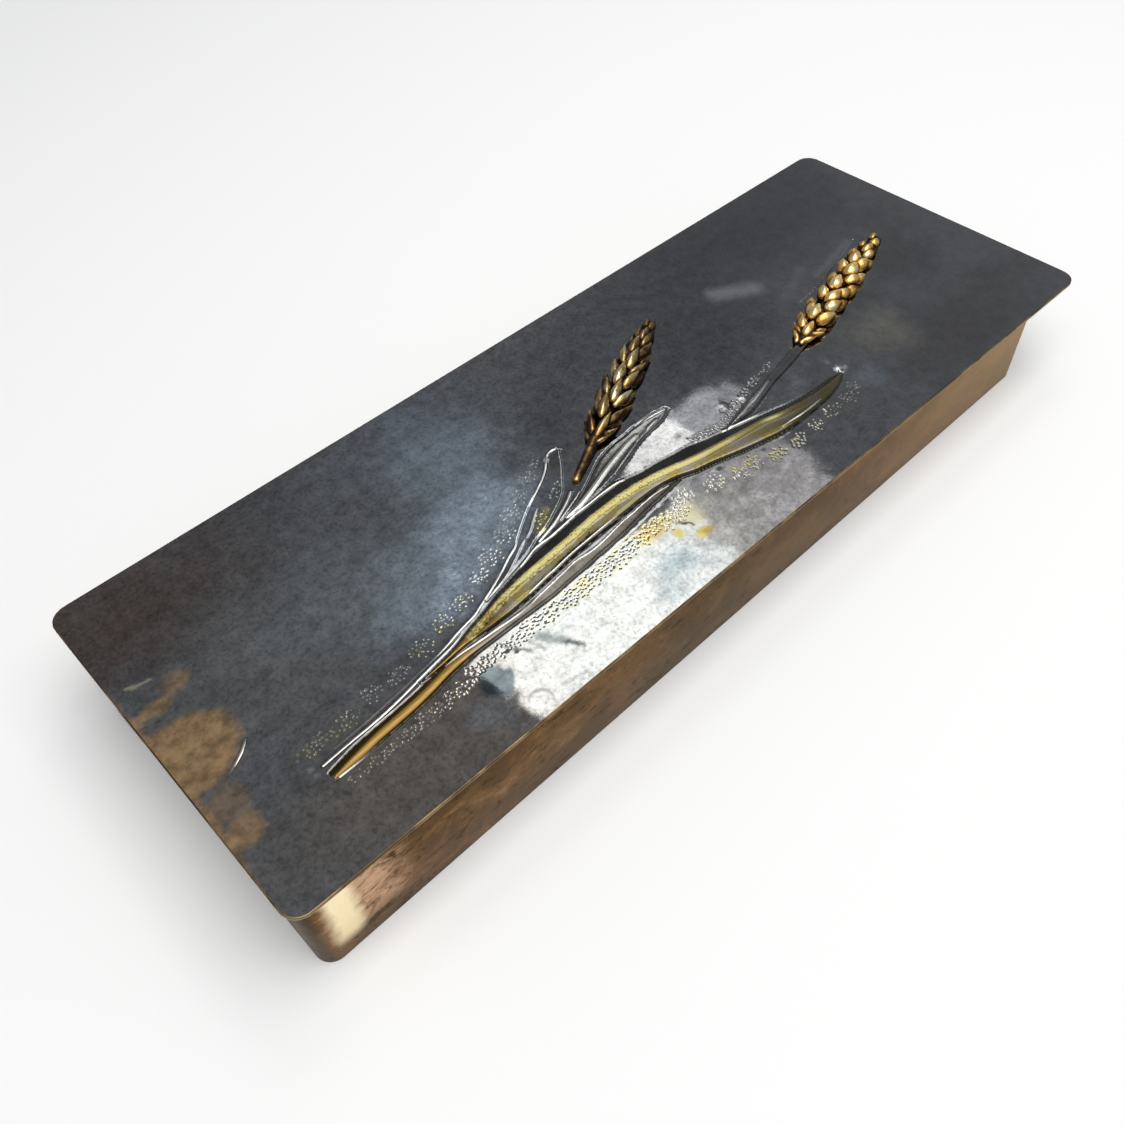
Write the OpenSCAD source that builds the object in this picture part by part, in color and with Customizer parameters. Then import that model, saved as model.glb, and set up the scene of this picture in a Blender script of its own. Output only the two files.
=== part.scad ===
// A long, flat brass box with a hinged lid plate, a wood lining and a wheat spray on the lid.
// Millimetres. X runs along the box, Y from front to back, and Z is up from the table.

/* [Lid plate] */
// Length of the lid plate, from left to right
lid_l = 270; // [250:1:310]
// Width of the lid plate, from front to back
lid_w = 97; // [92:1:120]
// Thickness of the lid plate's sheet
lid_t = 1; // [0.8:0.1:1.5]
// Radius of the lid plate's corners, seen from above
lid_corner_r = 4.5; // [2:0.5:8]
// Angle by which the lid plate sits askew of the body, in degrees
lid_skew = 0.5; // [0:0.1:0.8]
// Height of the closed box, from the table to the lid plate's face
closed_h = 27; // [22:0.5:45]

/* [Overhangs] */
// How far the lid plate reaches past the body's left end
overhang_left = 1.4; // [1.2:0.1:6]
// How far the lid plate reaches past the body's right end
overhang_right = 15.9; // [4:0.1:20]
// How far the lid plate reaches past the body's front
overhang_front = 1.7; // [1.5:0.1:6]
// How far the lid plate reaches past the body's back, over the hinge
overhang_back = 8; // [7.8:0.1:10]

/* [Body] */
// Thickness of the wall's sheet
wall_t = 1; // [0.8:0.1:1.5]
// Radius of the body's upright corners, outside
body_corner_r = 4; // [3:0.5:8]
// Thickness of the base's sheet
base_t = 1; // [0.8:0.1:2]
// Gap between the wall's rim and the lid plate
rim_gap = 0.15; // [0.1:0.05:0.3]
// Gap between the base plate's edge and the wall, filled with solder
solder_gap = 0.05; // [0.02:0.01:0.1]

/* [Lining] */
// Thickness of the floor board
floor_liner_t = 2; // [1.5:0.5:4]
// Thickness of the four side boards
side_liner_t = 2; // [1.5:0.5:4]
// Gap between the lining and the brass
liner_gap = 0.2; // [0.1:0.1:0.5]
// How far the side boards stop below the wall's rim
liner_drop = 0.5; // [0.2:0.1:2]
// Thickness of the board under the lid plate
lid_liner_t = 3; // [2:0.5:4]
// Gap between the lid's board and the side boards
lid_liner_gap = 0.8; // [0.6:0.1:2]
// Radius of the corners of the lid's board, seen from above
lid_liner_corner_r = 1.5; // [0.5:0.5:6]

/* [Hinge] */
// Number of knuckles, shared by turns between the body and the lid
knuckle_count = 9; // [5:2:15]
// Outer radius of the knuckles
knuckle_r = 1.5; // [1.3:0.1:1.7]
// Radius of the hinge pin
pin_r = 0.6; // [0.5:0.05:0.7]
// Running gap round the hinge pin
pin_gap = 0.04; // [0.02:0.01:0.08]
// Gap between the knuckles and what they turn past
hinge_gap = 0.3; // [0.25:0.05:0.4]
// Thickness of the hinge's two leaves
leaf_t = 0.6; // [0.5:0.1:0.7]
// How far the lid's leaf reaches behind the hinge pin's axis
lid_leaf_reach = 4.2; // [3.6:0.1:4.4]
// How far the body's leaf reaches below the hinge pin's axis
body_leaf_drop = 5; // [4:0.5:6]
// Distance from the body's ends to the hinge's ends
hinge_inset = 10; // [6:1:40]
// Radius of the hinge pin's peened ends
pin_head_r = 1.1; // [0.9:0.1:1.2]
// Thickness of the hinge pin's peened ends
pin_head_t = 0.4; // [0.3:0.1:0.8]

/* [Wheat ears] */
// Length of the left ear, without its stem
left_ear_l = 50; // [40:1:54]
// Length of the right ear, without its stem
right_ear_l = 56; // [44:1:60]
// Width of an ear at its widest
ear_w = 11; // [8:0.5:12]
// Height of an ear above the lid plate
ear_h = 5; // [3:0.5:7]
// Usual distance from one grain to the next along an ear, evened out over the ear's length
grain_pitch = 4.7; // [4:0.1:6]
// Length of the left ear's own stem
stem_l = 14; // [8:1:15]
// Radius of the ears' stems
stem_r = 1.1; // [0.8:0.1:1.4]
// Radius of the pins that hold the ears
ear_pin_r = 0.7; // [0.5:0.1:1]
// Gap round an ear's pin in the lid plate
ear_pin_gap = 0.05; // [0.03:0.01:0.1]
// Radius of the ear pins' clenched heads
ear_pin_head_r = 1.6; // [1.3:0.1:2]
// Thickness of the ear pins' clenched heads
ear_pin_head_t = 0.5; // [0.3:0.1:0.8]
// Gap round the clenched heads in the lid's board
head_pocket_gap = 0.4; // [0.3:0.1:0.8]

/* [Worked leaves] */
// Height of the long leaf above the lid plate
leaf_h = 1.8; // [1:0.1:2.4]
// Height of the small blades above the lid plate
blade_h = 1; // [0.6:0.1:1.4]
// Half the width of the long leaf at its widest
leaf_half_w = 3.9; // [3:0.1:4.2]
// Half the width of the left blade at its widest
left_blade_half_w = 2.9; // [2:0.1:3]
// Half the width of the small blades at their widest
blade_half_w = 1.7; // [1.2:0.1:1.9]
// Half the width of a worked stalk
stalk_half_w = 0.9; // [0.6:0.1:1]
// Height of a leaf's edge above the lid plate
leaf_lip = 0.25; // [0.15:0.05:0.4]

/* [Hidden] */
$fn = 96;

// Length that a cut runs past what it cuts
overrun = 1;

// Heights
lid_under_z = closed_h - lid_t;
rim_z = lid_under_z - rim_gap;
floor_z = base_t + floor_liner_t;
side_liner_top_z = rim_z - liner_drop;
lid_liner_z = lid_under_z - lid_liner_t;

// The body's outside and inside, seen from above
body_x0 = -lid_l / 2 + overhang_left;
body_x1 = lid_l / 2 - overhang_right;
body_y0 = -lid_w / 2 + overhang_front;
body_y1 = lid_w / 2 - overhang_back;
body_l = body_x1 - body_x0;
body_w = body_y1 - body_y0;
body_mid = [body_x0 + body_l / 2, body_y0 + body_w / 2];
lining_inset = wall_t + liner_gap;
hollow_inset = lining_inset + side_liner_t;
lid_liner_inset = hollow_inset + lid_liner_gap;

// The hinge's axis and its run along the back
hinge_y = body_y1 + hinge_gap + knuckle_r;
hinge_z = lid_under_z - hinge_gap - knuckle_r;
hinge_x0 = body_x0 + hinge_inset;
hinge_l = body_l - 2 * hinge_inset;
knuckle_pitch = hinge_l / knuckle_count;
bore_r = pin_r + pin_gap;

// Where the ears stand, as shares of the lid plate's length and width, and their turn in degrees
left_ear_shares = [-0.037, 0.016];
left_ear_turn = 27;
right_ear_shares = [0.213, -0.107];
right_ear_turn = 15;
// The right ear's own stem is only a stub
right_stem_l = stem_r;
// Where the two pins of an ear stand along it, as shares of its length
pin_shares = [0.22, 0.68];
// Widths along an ear, as shares of its widest, from its foot to its tip
ear_width_shares = [0.55, 0.86, 1, 0.98, 0.88, 0.66, 0.34];
// Heights along an ear, as shares of its highest, from its foot to its tip
ear_height_shares = [0.6, 0.9, 1, 1, 0.9, 0.7, 0.42];
// A grain's radius as a share of the ear's width there, and its length as a share of the pitch
grain_r_share = 0.17;
grain_length_share = 1.75;
// Radius of a grain's foot and tip, and where it is thickest, as shares of its radius and length
grain_foot_share = 0.6;
grain_tip_share = 0.3;
grain_belly_share = 0.45;
// Where the side grains stand, as shares of the ear's width and height
side_foot_share = 0.17;
side_height_share = 0.4;
// Thickness of the ear's core as a share of its width
core_share = 0.33;

// Each worked line is a list of places along it. A place is its share of the lid plate's length
// and width from the middle, then the share of the line's full half width there.
long_leaf_shares = [[-0.419, -0.287, 0.24], [-0.341, -0.275, 0.3], [-0.278, -0.247, 0.42],
    [-0.204, -0.196, 0.74], [-0.13, -0.169, 0.9], [-0.056, -0.172, 0.96], [0.011, -0.205, 1],
    [0.074, -0.245, 0.96], [0.137, -0.272, 0.66], [0.197, -0.269, 0.1]];
left_blade_shares = [[-0.212, -0.147, 0.34], [-0.172, -0.1, 0.8], [-0.128, -0.046, 1],
    [-0.094, 0.008, 0.66], [-0.072, 0.066, 0.1]];
right_blade_shares = [[-0.142, -0.13, 0.5], [-0.1, -0.096, 0.8], [-0.05, -0.061, 1],
    [0, -0.043, 0.8], [0.041, -0.03, 0.12]];
under_blade_shares = [[-0.262, -0.28, 0.4], [-0.204, -0.257, 0.9], [-0.134, -0.246, 1],
    [-0.074, -0.242, 0.8], [-0.016, -0.236, 0.12]];
upper_stalk_shares = [[-0.419, -0.252, 0.6], [-0.341, -0.236, 0.8], [-0.285, -0.21, 1],
    [-0.23, -0.17, 1], [-0.19, -0.14, 0.5]];
left_ear_stalk_shares = [[-0.155, -0.135, 0.5], [-0.122, -0.105, 1], [-0.0915, -0.066, 0.6]];
right_ear_stalk_shares = [[0.062, -0.196, 0.5], [0.107, -0.158, 1], [0.155, -0.127, 1],
    [0.197, -0.108, 0.6]];
// Steps from one place of a worked line to the next
line_steps = 3;
// Where the ridge of a worked line stands across it, as a share of its half width
ridge_share = 0.25;

// A place given in shares of the lid plate, in millimetres
function on_plate(shares) = [shares[0] * lid_l, shares[1] * lid_w];

// A smooth curve through a list of places, which works on any number of values per place
function bend(a, b, c, d, t) =
    (2 * b + (c - a) * t + (2 * a - 5 * b + 4 * c - d) * t * t
    + (3 * b - a - 3 * c + d) * t * t * t) / 2;
function smooth(p, steps) = let (last = len(p) - 1) [
    for (i = [0:last - 1], k = [0:steps - 1])
        bend(p[max(i - 1, 0)], p[i], p[i + 1], p[min(i + 2, last)], k / steps),
    p[last]];

// The value at share s along a list of values that lie at even spaces
function along(values, s) = let (
    span = len(values) - 1,
    i = min(floor(s * span), span - 1))
    values[i] + (values[i + 1] - values[i]) * (s * span - i);

// A rectangle with round corners, set in from the body's outside
module body_outline(inset) {
    translate(body_mid)
        rounded_rectangle(body_l - 2 * inset, body_w - 2 * inset, body_corner_r - inset);
}

module rounded_rectangle(l, w, r) {
    square([l - 2 * r, w], center = true);
    square([l, w - 2 * r], center = true);
    for (x = [-1, 1], y = [-1, 1])
        translate([x * (l / 2 - r), y * (w / 2 - r)]) circle(r);
}

// Turns what lies on the lid plate askew with it
module askew() {
    rotate([0, 0, -lid_skew]) children();
}

// Sets what it is given at an ear's foot on the lid plate's face, along the ear
module at_ear(shares, turn) {
    askew() translate([on_plate(shares)[0], on_plate(shares)[1], closed_h])
        rotate([0, 0, turn]) children();
}

// One worked line: a ridge that follows its places, with its root inside the sheet
module worked_line(places, half_w, height) {
    curve = smooth(places, line_steps);
    last = len(curve) - 1;
    middle = [for (c = curve) on_plate(c)];
    ring = 5;
    points = [for (i = [0:last]) let (
        ahead = middle[min(i + 1, last)] - middle[max(i - 1, 0)],
        side = [-ahead[1], ahead[0]] / norm(ahead),
        share = max(curve[i][2], 0),
        reach = side * half_w * share,
        top = leaf_lip + (height - leaf_lip) * sqrt(share))
        each [
            [each middle[i] + reach, -lid_t / 2],
            [each middle[i] + reach, leaf_lip],
            [each middle[i] + reach * ridge_share, top],
            [each middle[i] - reach, leaf_lip],
            [each middle[i] - reach, -lid_t / 2]]];
    sides = [for (i = [0:last - 1], j = [0:ring - 1]) let (
        a = i * ring + j,
        b = i * ring + (j + 1) % ring)
        each [[a, a + ring, b + ring], [a, b + ring, b]]];
    start_cap = [for (j = [0:ring - 1]) j];
    end_cap = [for (j = [ring - 1:-1:0]) last * ring + j];
    translate([0, 0, closed_h])
        polyhedron(points, concat(sides, [start_cap, end_cap]), convexity = 6);
}

module lid_plate() {
    color([0.34, 0.35, 0.38]) askew() difference() {
        union() {
            translate([0, 0, lid_under_z]) linear_extrude(lid_t)
                rounded_rectangle(lid_l, lid_w, lid_corner_r);
            worked_line(long_leaf_shares, leaf_half_w, leaf_h);
            worked_line(left_blade_shares, left_blade_half_w, blade_h);
            worked_line(right_blade_shares, blade_half_w, blade_h);
            worked_line(under_blade_shares, blade_half_w, blade_h);
            worked_line(upper_stalk_shares, stalk_half_w, blade_h);
            worked_line(left_ear_stalk_shares, stalk_half_w, blade_h);
            worked_line(right_ear_stalk_shares, stalk_half_w, blade_h);
        }
        for (place = ear_pin_places)
            translate([place[0], place[1], lid_under_z - overrun])
                cylinder(r = ear_pin_r + ear_pin_gap, h = lid_t + 2 * overrun);
    }
}

// Where an ear's pins stand on the lid plate, before it is turned askew
function pin_places(shares, turn, length) =
    [for (s = pin_shares) on_plate(shares) + s * length * [cos(turn), sin(turn)]];
ear_pin_places = concat(
    pin_places(left_ear_shares, left_ear_turn, left_ear_l),
    pin_places(right_ear_shares, right_ear_turn, right_ear_l));

// One grain: a husk that swells behind its foot and narrows to its tip
module grain(foot, tip, r) {
    hull() {
        translate(foot) sphere(r * grain_foot_share, $fn = 6);
        translate(foot + (tip - foot) * grain_belly_share) sphere(r, $fn = 8);
        translate(tip) sphere(r * grain_tip_share, $fn = 6);
    }
}

// The rod inside an ear, with its own stem at the left
module ear_core(length, own_stem_l) {
    hull() {
        translate([-own_stem_l, 0, 0]) sphere(stem_r, $fn = 8);
        translate([grain_pitch, 0, 0]) sphere(stem_r, $fn = 8);
    }
    hull() {
        sphere(stem_r, $fn = 8);
        translate([length / 2, 0, 0]) sphere(min(ear_w, 2 * ear_h) * core_share, $fn = 8);
        translate([length - grain_pitch, 0, 0]) sphere(stem_r, $fn = 8);
    }
}

// The grains of one tier: one on each side, and one on top between this tier and the next
module ear_tier(x, length, step) {
    grain_l = step * grain_length_share;
    w = ear_w * along(ear_width_shares, x / length);
    tip_w = ear_w * along(ear_width_shares, min((x + grain_l) / length, 1));
    h = ear_h * along(ear_height_shares, x / length);
    tip_h = ear_h * along(ear_height_shares, min((x + grain_l) / length, 1));
    r = grain_r_share * w;
    for (side = [-1, 1])
        grain([x, side * w * side_foot_share, h * side_height_share],
            [x + grain_l, side * (tip_w / 2 - r * grain_tip_share), tip_h * side_height_share],
            r);
    grain([x + step / 2, 0, h - r - r * grain_foot_share],
        [x + step / 2 + grain_l, 0, tip_h - r * grain_tip_share],
        r);
}

// An ear along X, from its stem's end at the left to its tip, flat underneath
module wheat_ear(length, own_stem_l) {
    tiers = round(length / grain_pitch - grain_length_share);
    step = length / (tiers + grain_length_share - 1 / 2);
    intersection() {
        union() {
            ear_core(length, own_stem_l);
            for (i = [0:tiers - 1]) ear_tier(i * step, length, step);
        }
        translate([-own_stem_l - ear_w, -ear_w, 0])
            cube([own_stem_l + length + 2 * ear_w, 2 * ear_w, ear_h + overrun]);
    }
}

module wheat_ear_left() {
    color([0.55, 0.42, 0.2]) at_ear(left_ear_shares, left_ear_turn)
        wheat_ear(left_ear_l, stem_l);
}

module wheat_ear_right() {
    color([0.62, 0.48, 0.22]) at_ear(right_ear_shares, right_ear_turn)
        wheat_ear(right_ear_l, right_stem_l);
}

// The four pins that hold the ears, each clenched under the lid plate
module ear_pins() {
    color([0.6, 0.48, 0.25]) askew() for (place = ear_pin_places)
        translate([place[0], place[1], 0]) {
            translate([0, 0, lid_under_z]) cylinder(r = ear_pin_r, h = lid_t);
            translate([0, 0, lid_under_z - ear_pin_head_t])
                cylinder(r = ear_pin_head_r, h = ear_pin_head_t);
        }
}

module lid_liner() {
    color([0.62, 0.4, 0.22]) difference() {
        translate([body_mid[0], body_mid[1], lid_liner_z]) linear_extrude(lid_liner_t)
            rounded_rectangle(body_l - 2 * lid_liner_inset, body_w - 2 * lid_liner_inset,
                lid_liner_corner_r);
        askew() for (place = ear_pin_places)
            translate([place[0], place[1], lid_under_z - ear_pin_head_t - head_pocket_gap])
                cylinder(r = ear_pin_head_r + head_pocket_gap,
                    h = ear_pin_head_t + head_pocket_gap + overrun);
    }
}

// Knuckles first, first + 2 and so on, with what joins them to their leaf
module knuckles(first) {
    for (i = [first:2:knuckle_count - 1])
        translate([hinge_x0 + i * knuckle_pitch + hinge_gap / 2, hinge_y, hinge_z])
            children();
}

module knuckle() {
    rotate([0, 90, 0]) cylinder(r = knuckle_r, h = knuckle_pitch - hinge_gap);
}

// The bore that takes the pin, along the whole hinge
module hinge_bore() {
    translate([hinge_x0 - overrun, hinge_y, hinge_z])
        rotate([0, 90, 0]) cylinder(r = bore_r, h = hinge_l + 2 * overrun);
}

module hinge_body_leaf() {
    strip_top = -knuckle_r - hinge_gap;
    color([0.6, 0.47, 0.27]) difference() {
        union() {
            translate([hinge_x0, body_y1, hinge_z - body_leaf_drop])
                cube([hinge_l, leaf_t, body_leaf_drop + strip_top]);
            knuckles(0) {
                knuckle();
                translate([0, body_y1 - hinge_y, strip_top])
                    cube([knuckle_pitch - hinge_gap, leaf_t, -strip_top]);
            }
        }
        hinge_bore();
    }
}

module hinge_lid_leaf() {
    strip_y = knuckle_r + hinge_gap;
    color([0.6, 0.47, 0.27]) difference() {
        union() {
            translate([hinge_x0, hinge_y + strip_y, lid_under_z - leaf_t])
                cube([hinge_l, lid_leaf_reach - strip_y, leaf_t]);
            knuckles(1) {
                knuckle();
                translate([0, 0, lid_under_z - hinge_z - leaf_t])
                    cube([knuckle_pitch - hinge_gap, strip_y, leaf_t]);
            }
        }
        hinge_bore();
    }
}

module hinge_pin() {
    pin_x0 = hinge_x0 + hinge_gap / 2;
    pin_l = hinge_l - hinge_gap;
    color([0.7, 0.58, 0.35]) translate([pin_x0, hinge_y, hinge_z]) rotate([0, 90, 0]) {
        cylinder(r = pin_r, h = pin_l);
        translate([0, 0, -pin_head_t]) cylinder(r = pin_head_r, h = pin_head_t);
        translate([0, 0, pin_l]) cylinder(r = pin_head_r, h = pin_head_t);
    }
}

module wall_band() {
    color([0.56, 0.42, 0.3]) linear_extrude(rim_z) difference() {
        body_outline(0);
        body_outline(wall_t);
    }
}

module base_plate() {
    color([0.5, 0.38, 0.26]) linear_extrude(base_t) body_outline(wall_t + solder_gap);
}

module floor_liner() {
    color([0.66, 0.43, 0.25]) translate([0, 0, base_t]) linear_extrude(floor_liner_t)
        body_outline(lining_inset);
}

// The lining's upright ring, of which each side board takes a stretch
module lining_ring() {
    translate([0, 0, floor_z]) linear_extrude(side_liner_top_z - floor_z) difference() {
        body_outline(lining_inset);
        translate(body_mid)
            square([body_l - 2 * hollow_inset, body_w - 2 * hollow_inset], center = true);
    }
}

// A block over the whole box between two places along Y
module stretch_y(y0, y1) {
    translate([body_x0 - overrun, y0, 0]) cube([body_l + 2 * overrun, y1 - y0, closed_h]);
}

module end_board(x0) {
    intersection() {
        lining_ring();
        translate([x0, body_y0 + hollow_inset, 0])
            cube([side_liner_t, body_w - 2 * hollow_inset, closed_h]);
    }
}

module liner_front() {
    color([0.68, 0.45, 0.27]) intersection() {
        lining_ring();
        stretch_y(body_y0, body_y0 + hollow_inset);
    }
}

module liner_back() {
    color([0.68, 0.45, 0.27]) intersection() {
        lining_ring();
        stretch_y(body_y1 - hollow_inset, body_y1);
    }
}

module liner_left() {
    color([0.64, 0.42, 0.24]) end_board(body_x0 + lining_inset);
}

module liner_right() {
    color([0.64, 0.42, 0.24]) end_board(body_x1 - hollow_inset);
}

lid_plate();
wheat_ear_left();
wheat_ear_right();
ear_pins();
lid_liner();
hinge_lid_leaf();
hinge_pin();
hinge_body_leaf();
wall_band();
base_plate();
floor_liner();
liner_front();
liner_back();
liner_left();
liner_right();
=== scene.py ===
"""Dresses the packed brass box: a beaten and chased lid with cast wheat ears, a patinated body,
a brass hinge and a wood lining, on a plain pale floor."""

import math

import bmesh
import bpy
import numpy as np
from bpy.props import FloatProperty, FloatVectorProperty, PointerProperty
from bpy.types import Operator, Panel, PropertyGroup
from mathutils import Matrix, Vector


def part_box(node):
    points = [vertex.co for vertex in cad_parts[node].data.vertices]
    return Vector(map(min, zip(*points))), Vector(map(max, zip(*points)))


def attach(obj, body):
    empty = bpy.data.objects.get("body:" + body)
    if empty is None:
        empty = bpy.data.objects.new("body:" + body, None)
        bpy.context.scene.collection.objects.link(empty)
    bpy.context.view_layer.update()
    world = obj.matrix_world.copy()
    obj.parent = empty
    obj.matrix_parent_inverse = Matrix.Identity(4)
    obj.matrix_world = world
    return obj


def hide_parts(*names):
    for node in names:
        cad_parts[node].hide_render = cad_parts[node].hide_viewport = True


bl_info = {
    "name": "Brass Wheat Box",
    "version": (1, 0, 0),
    "blender": (4, 5, 0),
    "location": "3D View > Sidebar > Brass Box",
    "description": "Builds the looks of a brass keepsake box round its packed frame",
    "category": "Object",
}

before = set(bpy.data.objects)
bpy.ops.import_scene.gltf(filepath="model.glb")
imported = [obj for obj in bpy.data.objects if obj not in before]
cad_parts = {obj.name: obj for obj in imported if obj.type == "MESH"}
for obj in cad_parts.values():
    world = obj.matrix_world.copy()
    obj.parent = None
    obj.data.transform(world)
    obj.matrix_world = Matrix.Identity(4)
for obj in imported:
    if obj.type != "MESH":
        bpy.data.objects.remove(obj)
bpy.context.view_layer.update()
MM = 0.001
PLATE_LOW, PLATE_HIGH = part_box("lid_plate")
SKEW = math.radians(-0.5)
CORNER_RADIUS = 4.5 * MM
SHEET_THICKNESS = 1.0 * MM


def plate_size():
    """Length and width of the lid plate, worked out from the box that it fills while askew."""
    c, s = math.cos(SKEW), abs(math.sin(SKEW))
    across = PLATE_HIGH.x - PLATE_LOW.x - 2 * CORNER_RADIUS
    deep = PLATE_HIGH.y - PLATE_LOW.y - 2 * CORNER_RADIUS
    share = c * c - s * s
    return ((across * c - deep * s) / share + 2 * CORNER_RADIUS,
            (deep * c - across * s) / share + 2 * CORNER_RADIUS)


PLATE_LENGTH, PLATE_WIDTH = plate_size()

# The drawing of the spray
# Places are in millimetres on a plate this long, from its middle: along it, then front to back.

DRAWN_LENGTH = 270.0
# A distance beyond any on the plate
FAR = 1e3


def flow(points, at):
    """A smooth curve through points that go from left to right, read at the places `at`."""
    x, y = (np.array(column, float) for column in zip(*points))
    slope = np.gradient(y, x)
    i = np.clip(np.searchsorted(x, at) - 1, 0, len(x) - 2)
    span = x[i + 1] - x[i]
    t = np.clip((at - x[i]) / span, 0, 1)
    return ((1 + 2 * t) * (1 - t) ** 2 * y[i] + t * (1 - t) ** 2 * span * slope[i]
            + t * t * (3 - 2 * t) * y[i + 1] + t * t * (t - 1) * span * slope[i + 1])


def rise(value, low, high):
    """0 below low and 1 above high, with a soft rise between them."""
    t = np.clip((value - low) / (high - low), 0, 1)
    return t * t * (3 - 2 * t)


def bump(distance, reach):
    """1 at no distance, fading to 0 over a few reaches."""
    return np.exp(-(distance / reach) ** 2)


class Form:
    """A form of the spray between a lower and an upper edge, with its heights along it."""

    # The step over which an edge's lean is taken, and the least width that shares are taken of
    LEAN_STEP, LEAST_WIDTH = 0.5, 0.1

    def __init__(self, lower, upper, height, weight=1.0):
        self.lower, self.upper, self.height, self.weight = lower, upper, height, weight
        self.start, self.end = lower[0][0], lower[-1][0]

    def inset(self, u, v):
        """Distance inside the form's edge, below zero outside it."""
        sides = []
        for edge, way in ((self.lower, 1), (self.upper, -1)):
            lean = (flow(edge, u + self.LEAN_STEP) - flow(edge, u - self.LEAN_STEP)) / (
                2 * self.LEAN_STEP)
            sides.append(way * (v - flow(edge, u)) / np.sqrt(1 + lean ** 2))
        inside = np.minimum(*sides)
        beyond = np.maximum(np.maximum(self.start - u, u - self.end), 0)
        return np.where(beyond > 0, -np.hypot(beyond, np.maximum(-inside, 0)), inside)

    def across(self, u, v):
        """0 at the lower edge and 1 at the upper one."""
        lower, upper = flow(self.lower, u), flow(self.upper, u)
        return np.clip((v - lower) / np.maximum(upper - lower, self.LEAST_WIDTH), 0, 1)


class Keel(Form):
    """A leaf folded along a crest: steep above it, where shade is painted, with a painted highlight just
    below the crest, rounded below it and then flat.
    """

    # How far the rounding below the crest reaches, and the least side that shares are taken of
    ROUND, LEAST_SIDE = 1.7, 0.2

    def __init__(self, lower, upper, crest, glow, height):
        super().__init__(lower, upper, height)
        self.crest, self.glow = crest, glow

    def sides(self, u, v):
        """Shares of the way from the crest up to the upper edge, and down to the lower one."""
        crest = flow(self.crest, u)
        up = (v - crest) / np.maximum(flow(self.upper, u) - crest, self.LEAST_SIDE)
        down = (crest - v) / np.maximum(crest - flow(self.lower, u), self.LEAST_SIDE)
        return np.clip(up, 0, 1), np.clip(down, 0, 1)

    def off_crest(self, u, v):
        """Distance from the crest inside the leaf, and far outside it."""
        return np.where(self.inset(u, v) > 0, np.abs(v - flow(self.crest, u)), FAR)

    def profile(self, u, v, d):
        """Share of the height, and the gilt, bright and dark masks, at an inset d."""
        up, down = self.sides(u, v)
        below, glow = flow(self.crest, u) - v, flow(self.glow, u)
        slope = 1 - 0.36 * rise(below, -0.5 * self.ROUND, self.ROUND) - 0.3 * rise(down, 0.8, 1)
        share = slope * (1 - 0.8 * up ** 1.3)
        gilt = np.where(up > 0, 1 - rise(up, 0.06, 0.26), 1.0)
        # Painted shade on the upper flank and along the lower edge; the bright mask paints the crest's
        # highlight
        shade = np.where(up > 0, 0.9 * rise(up, 0.03, 0.22), 0.35 * rise(down, 0.75, 0.95))
        return share, gilt * rise(d, 0.05, 0.3), bump(below - glow, glow), shade


class Stalk(Form):
    """A round gilded stalk that flattens into a blade, with a painted highlight along its lower side and
    painted shade along its top and its lower edge.
    """

    # Where the gold fades along the stalk, and where its crest lies across it
    GOLD_END, CREST = (-78, -60), 0.8

    def profile(self, u, v, d):
        """Share of the height, and the gilt, bright and dark masks, at an inset d."""
        a = self.across(u, v)
        gold = 1 - rise(u, *self.GOLD_END)
        crest = self.CREST
        share = np.where(a > crest, 1 - ((a - crest) / (1 - crest)) ** 2, 1 - (1 - a / crest) ** 2)
        # Painted highlight along the lower side of the round stalk
        bright = gold * bump(a - 0.3, 0.1)
        # Painted shade along the top and the lower edge; where the gold fades the stalk is darker all
        # over
        dark = gold * (0.5 * rise(a, 0.8, 0.95) + 0.35 * (1 - rise(a, 0.08, 0.2)))
        dark += (1 - gold) * (0.8 - 0.3 * rise(a, 0.4, 0.9))
        return share, 0.35 + 0.65 * gold, bright, dark


class Dish(Form):
    """A low blade with slightly raised edges."""

    def profile(self, u, v, d):
        """Share of the height, and the gilt, bright and dark masks, at an inset d."""
        edge = bump(d - 0.6, 0.6)
        return 0.75 + 0.25 * edge, np.zeros_like(u), np.zeros_like(u), 0.42 * rise(d, 0.2, 0.9)


class Cord(Form):
    """A thin thread along a middle line."""

    # The share of its width that it keeps at its ends
    END_SHARE = 0.35

    def __init__(self, line, width, height, weight=1.0):
        ends = (line[0][0], line[-1][0])
        half = [(u, width / 2 * (self.END_SHARE if u in ends else 1.0)) for u, _ in line]
        super().__init__([(u, v - h) for (u, v), (_, h) in zip(line, half)],
                         [(u, v + h) for (u, v), (_, h) in zip(line, half)], height, weight)

    def profile(self, u, v, d):
        """Share of the height, and the gilt, bright and dark masks, at an inset d."""
        share = np.sqrt(np.maximum(1 - (2 * self.across(u, v) - 1) ** 2, 0))
        return share, np.zeros_like(u), 0.6 * share, np.zeros_like(u)


GOLD_STALK = Stalk(
    lower=[(-112, -30.0), (-105, -29.8), (-100, -29.3), (-95, -29.0), (-90, -28.6), (-85, -27.9),
           (-80, -27.0), (-75, -26.5), (-65, -26.4), (-55, -26.5), (-50, -26.5), (-45, -26.1),
           (-40, -25.8), (-35, -25.4), (-30, -25.1), (-25, -24.7), (-20, -24.0), (-15, -23.4),
           (-10, -22.9), (-4.5, -22.4)],
    upper=[(-112, -27.6), (-105, -26.3), (-100, -25.9), (-95, -25.6), (-90, -25.2), (-85, -24.6),
           (-80, -24.0), (-75, -23.9), (-65, -24.3), (-55, -24.2), (-50, -23.8), (-45, -23.2),
           (-40, -22.7), (-35, -22.9), (-30, -22.6), (-25, -22.0), (-20, -21.6), (-15, -21.2),
           (-10, -21.2), (-4.5, -21.9)],
    height=[(-112, 0.25), (-105, 0.6), (-95, 0.85), (-80, 0.8), (-65, 0.55), (-50, 0.6), (-30, 0.6),
            (-12, 0.45), (-4.5, 0.15)])
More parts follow.
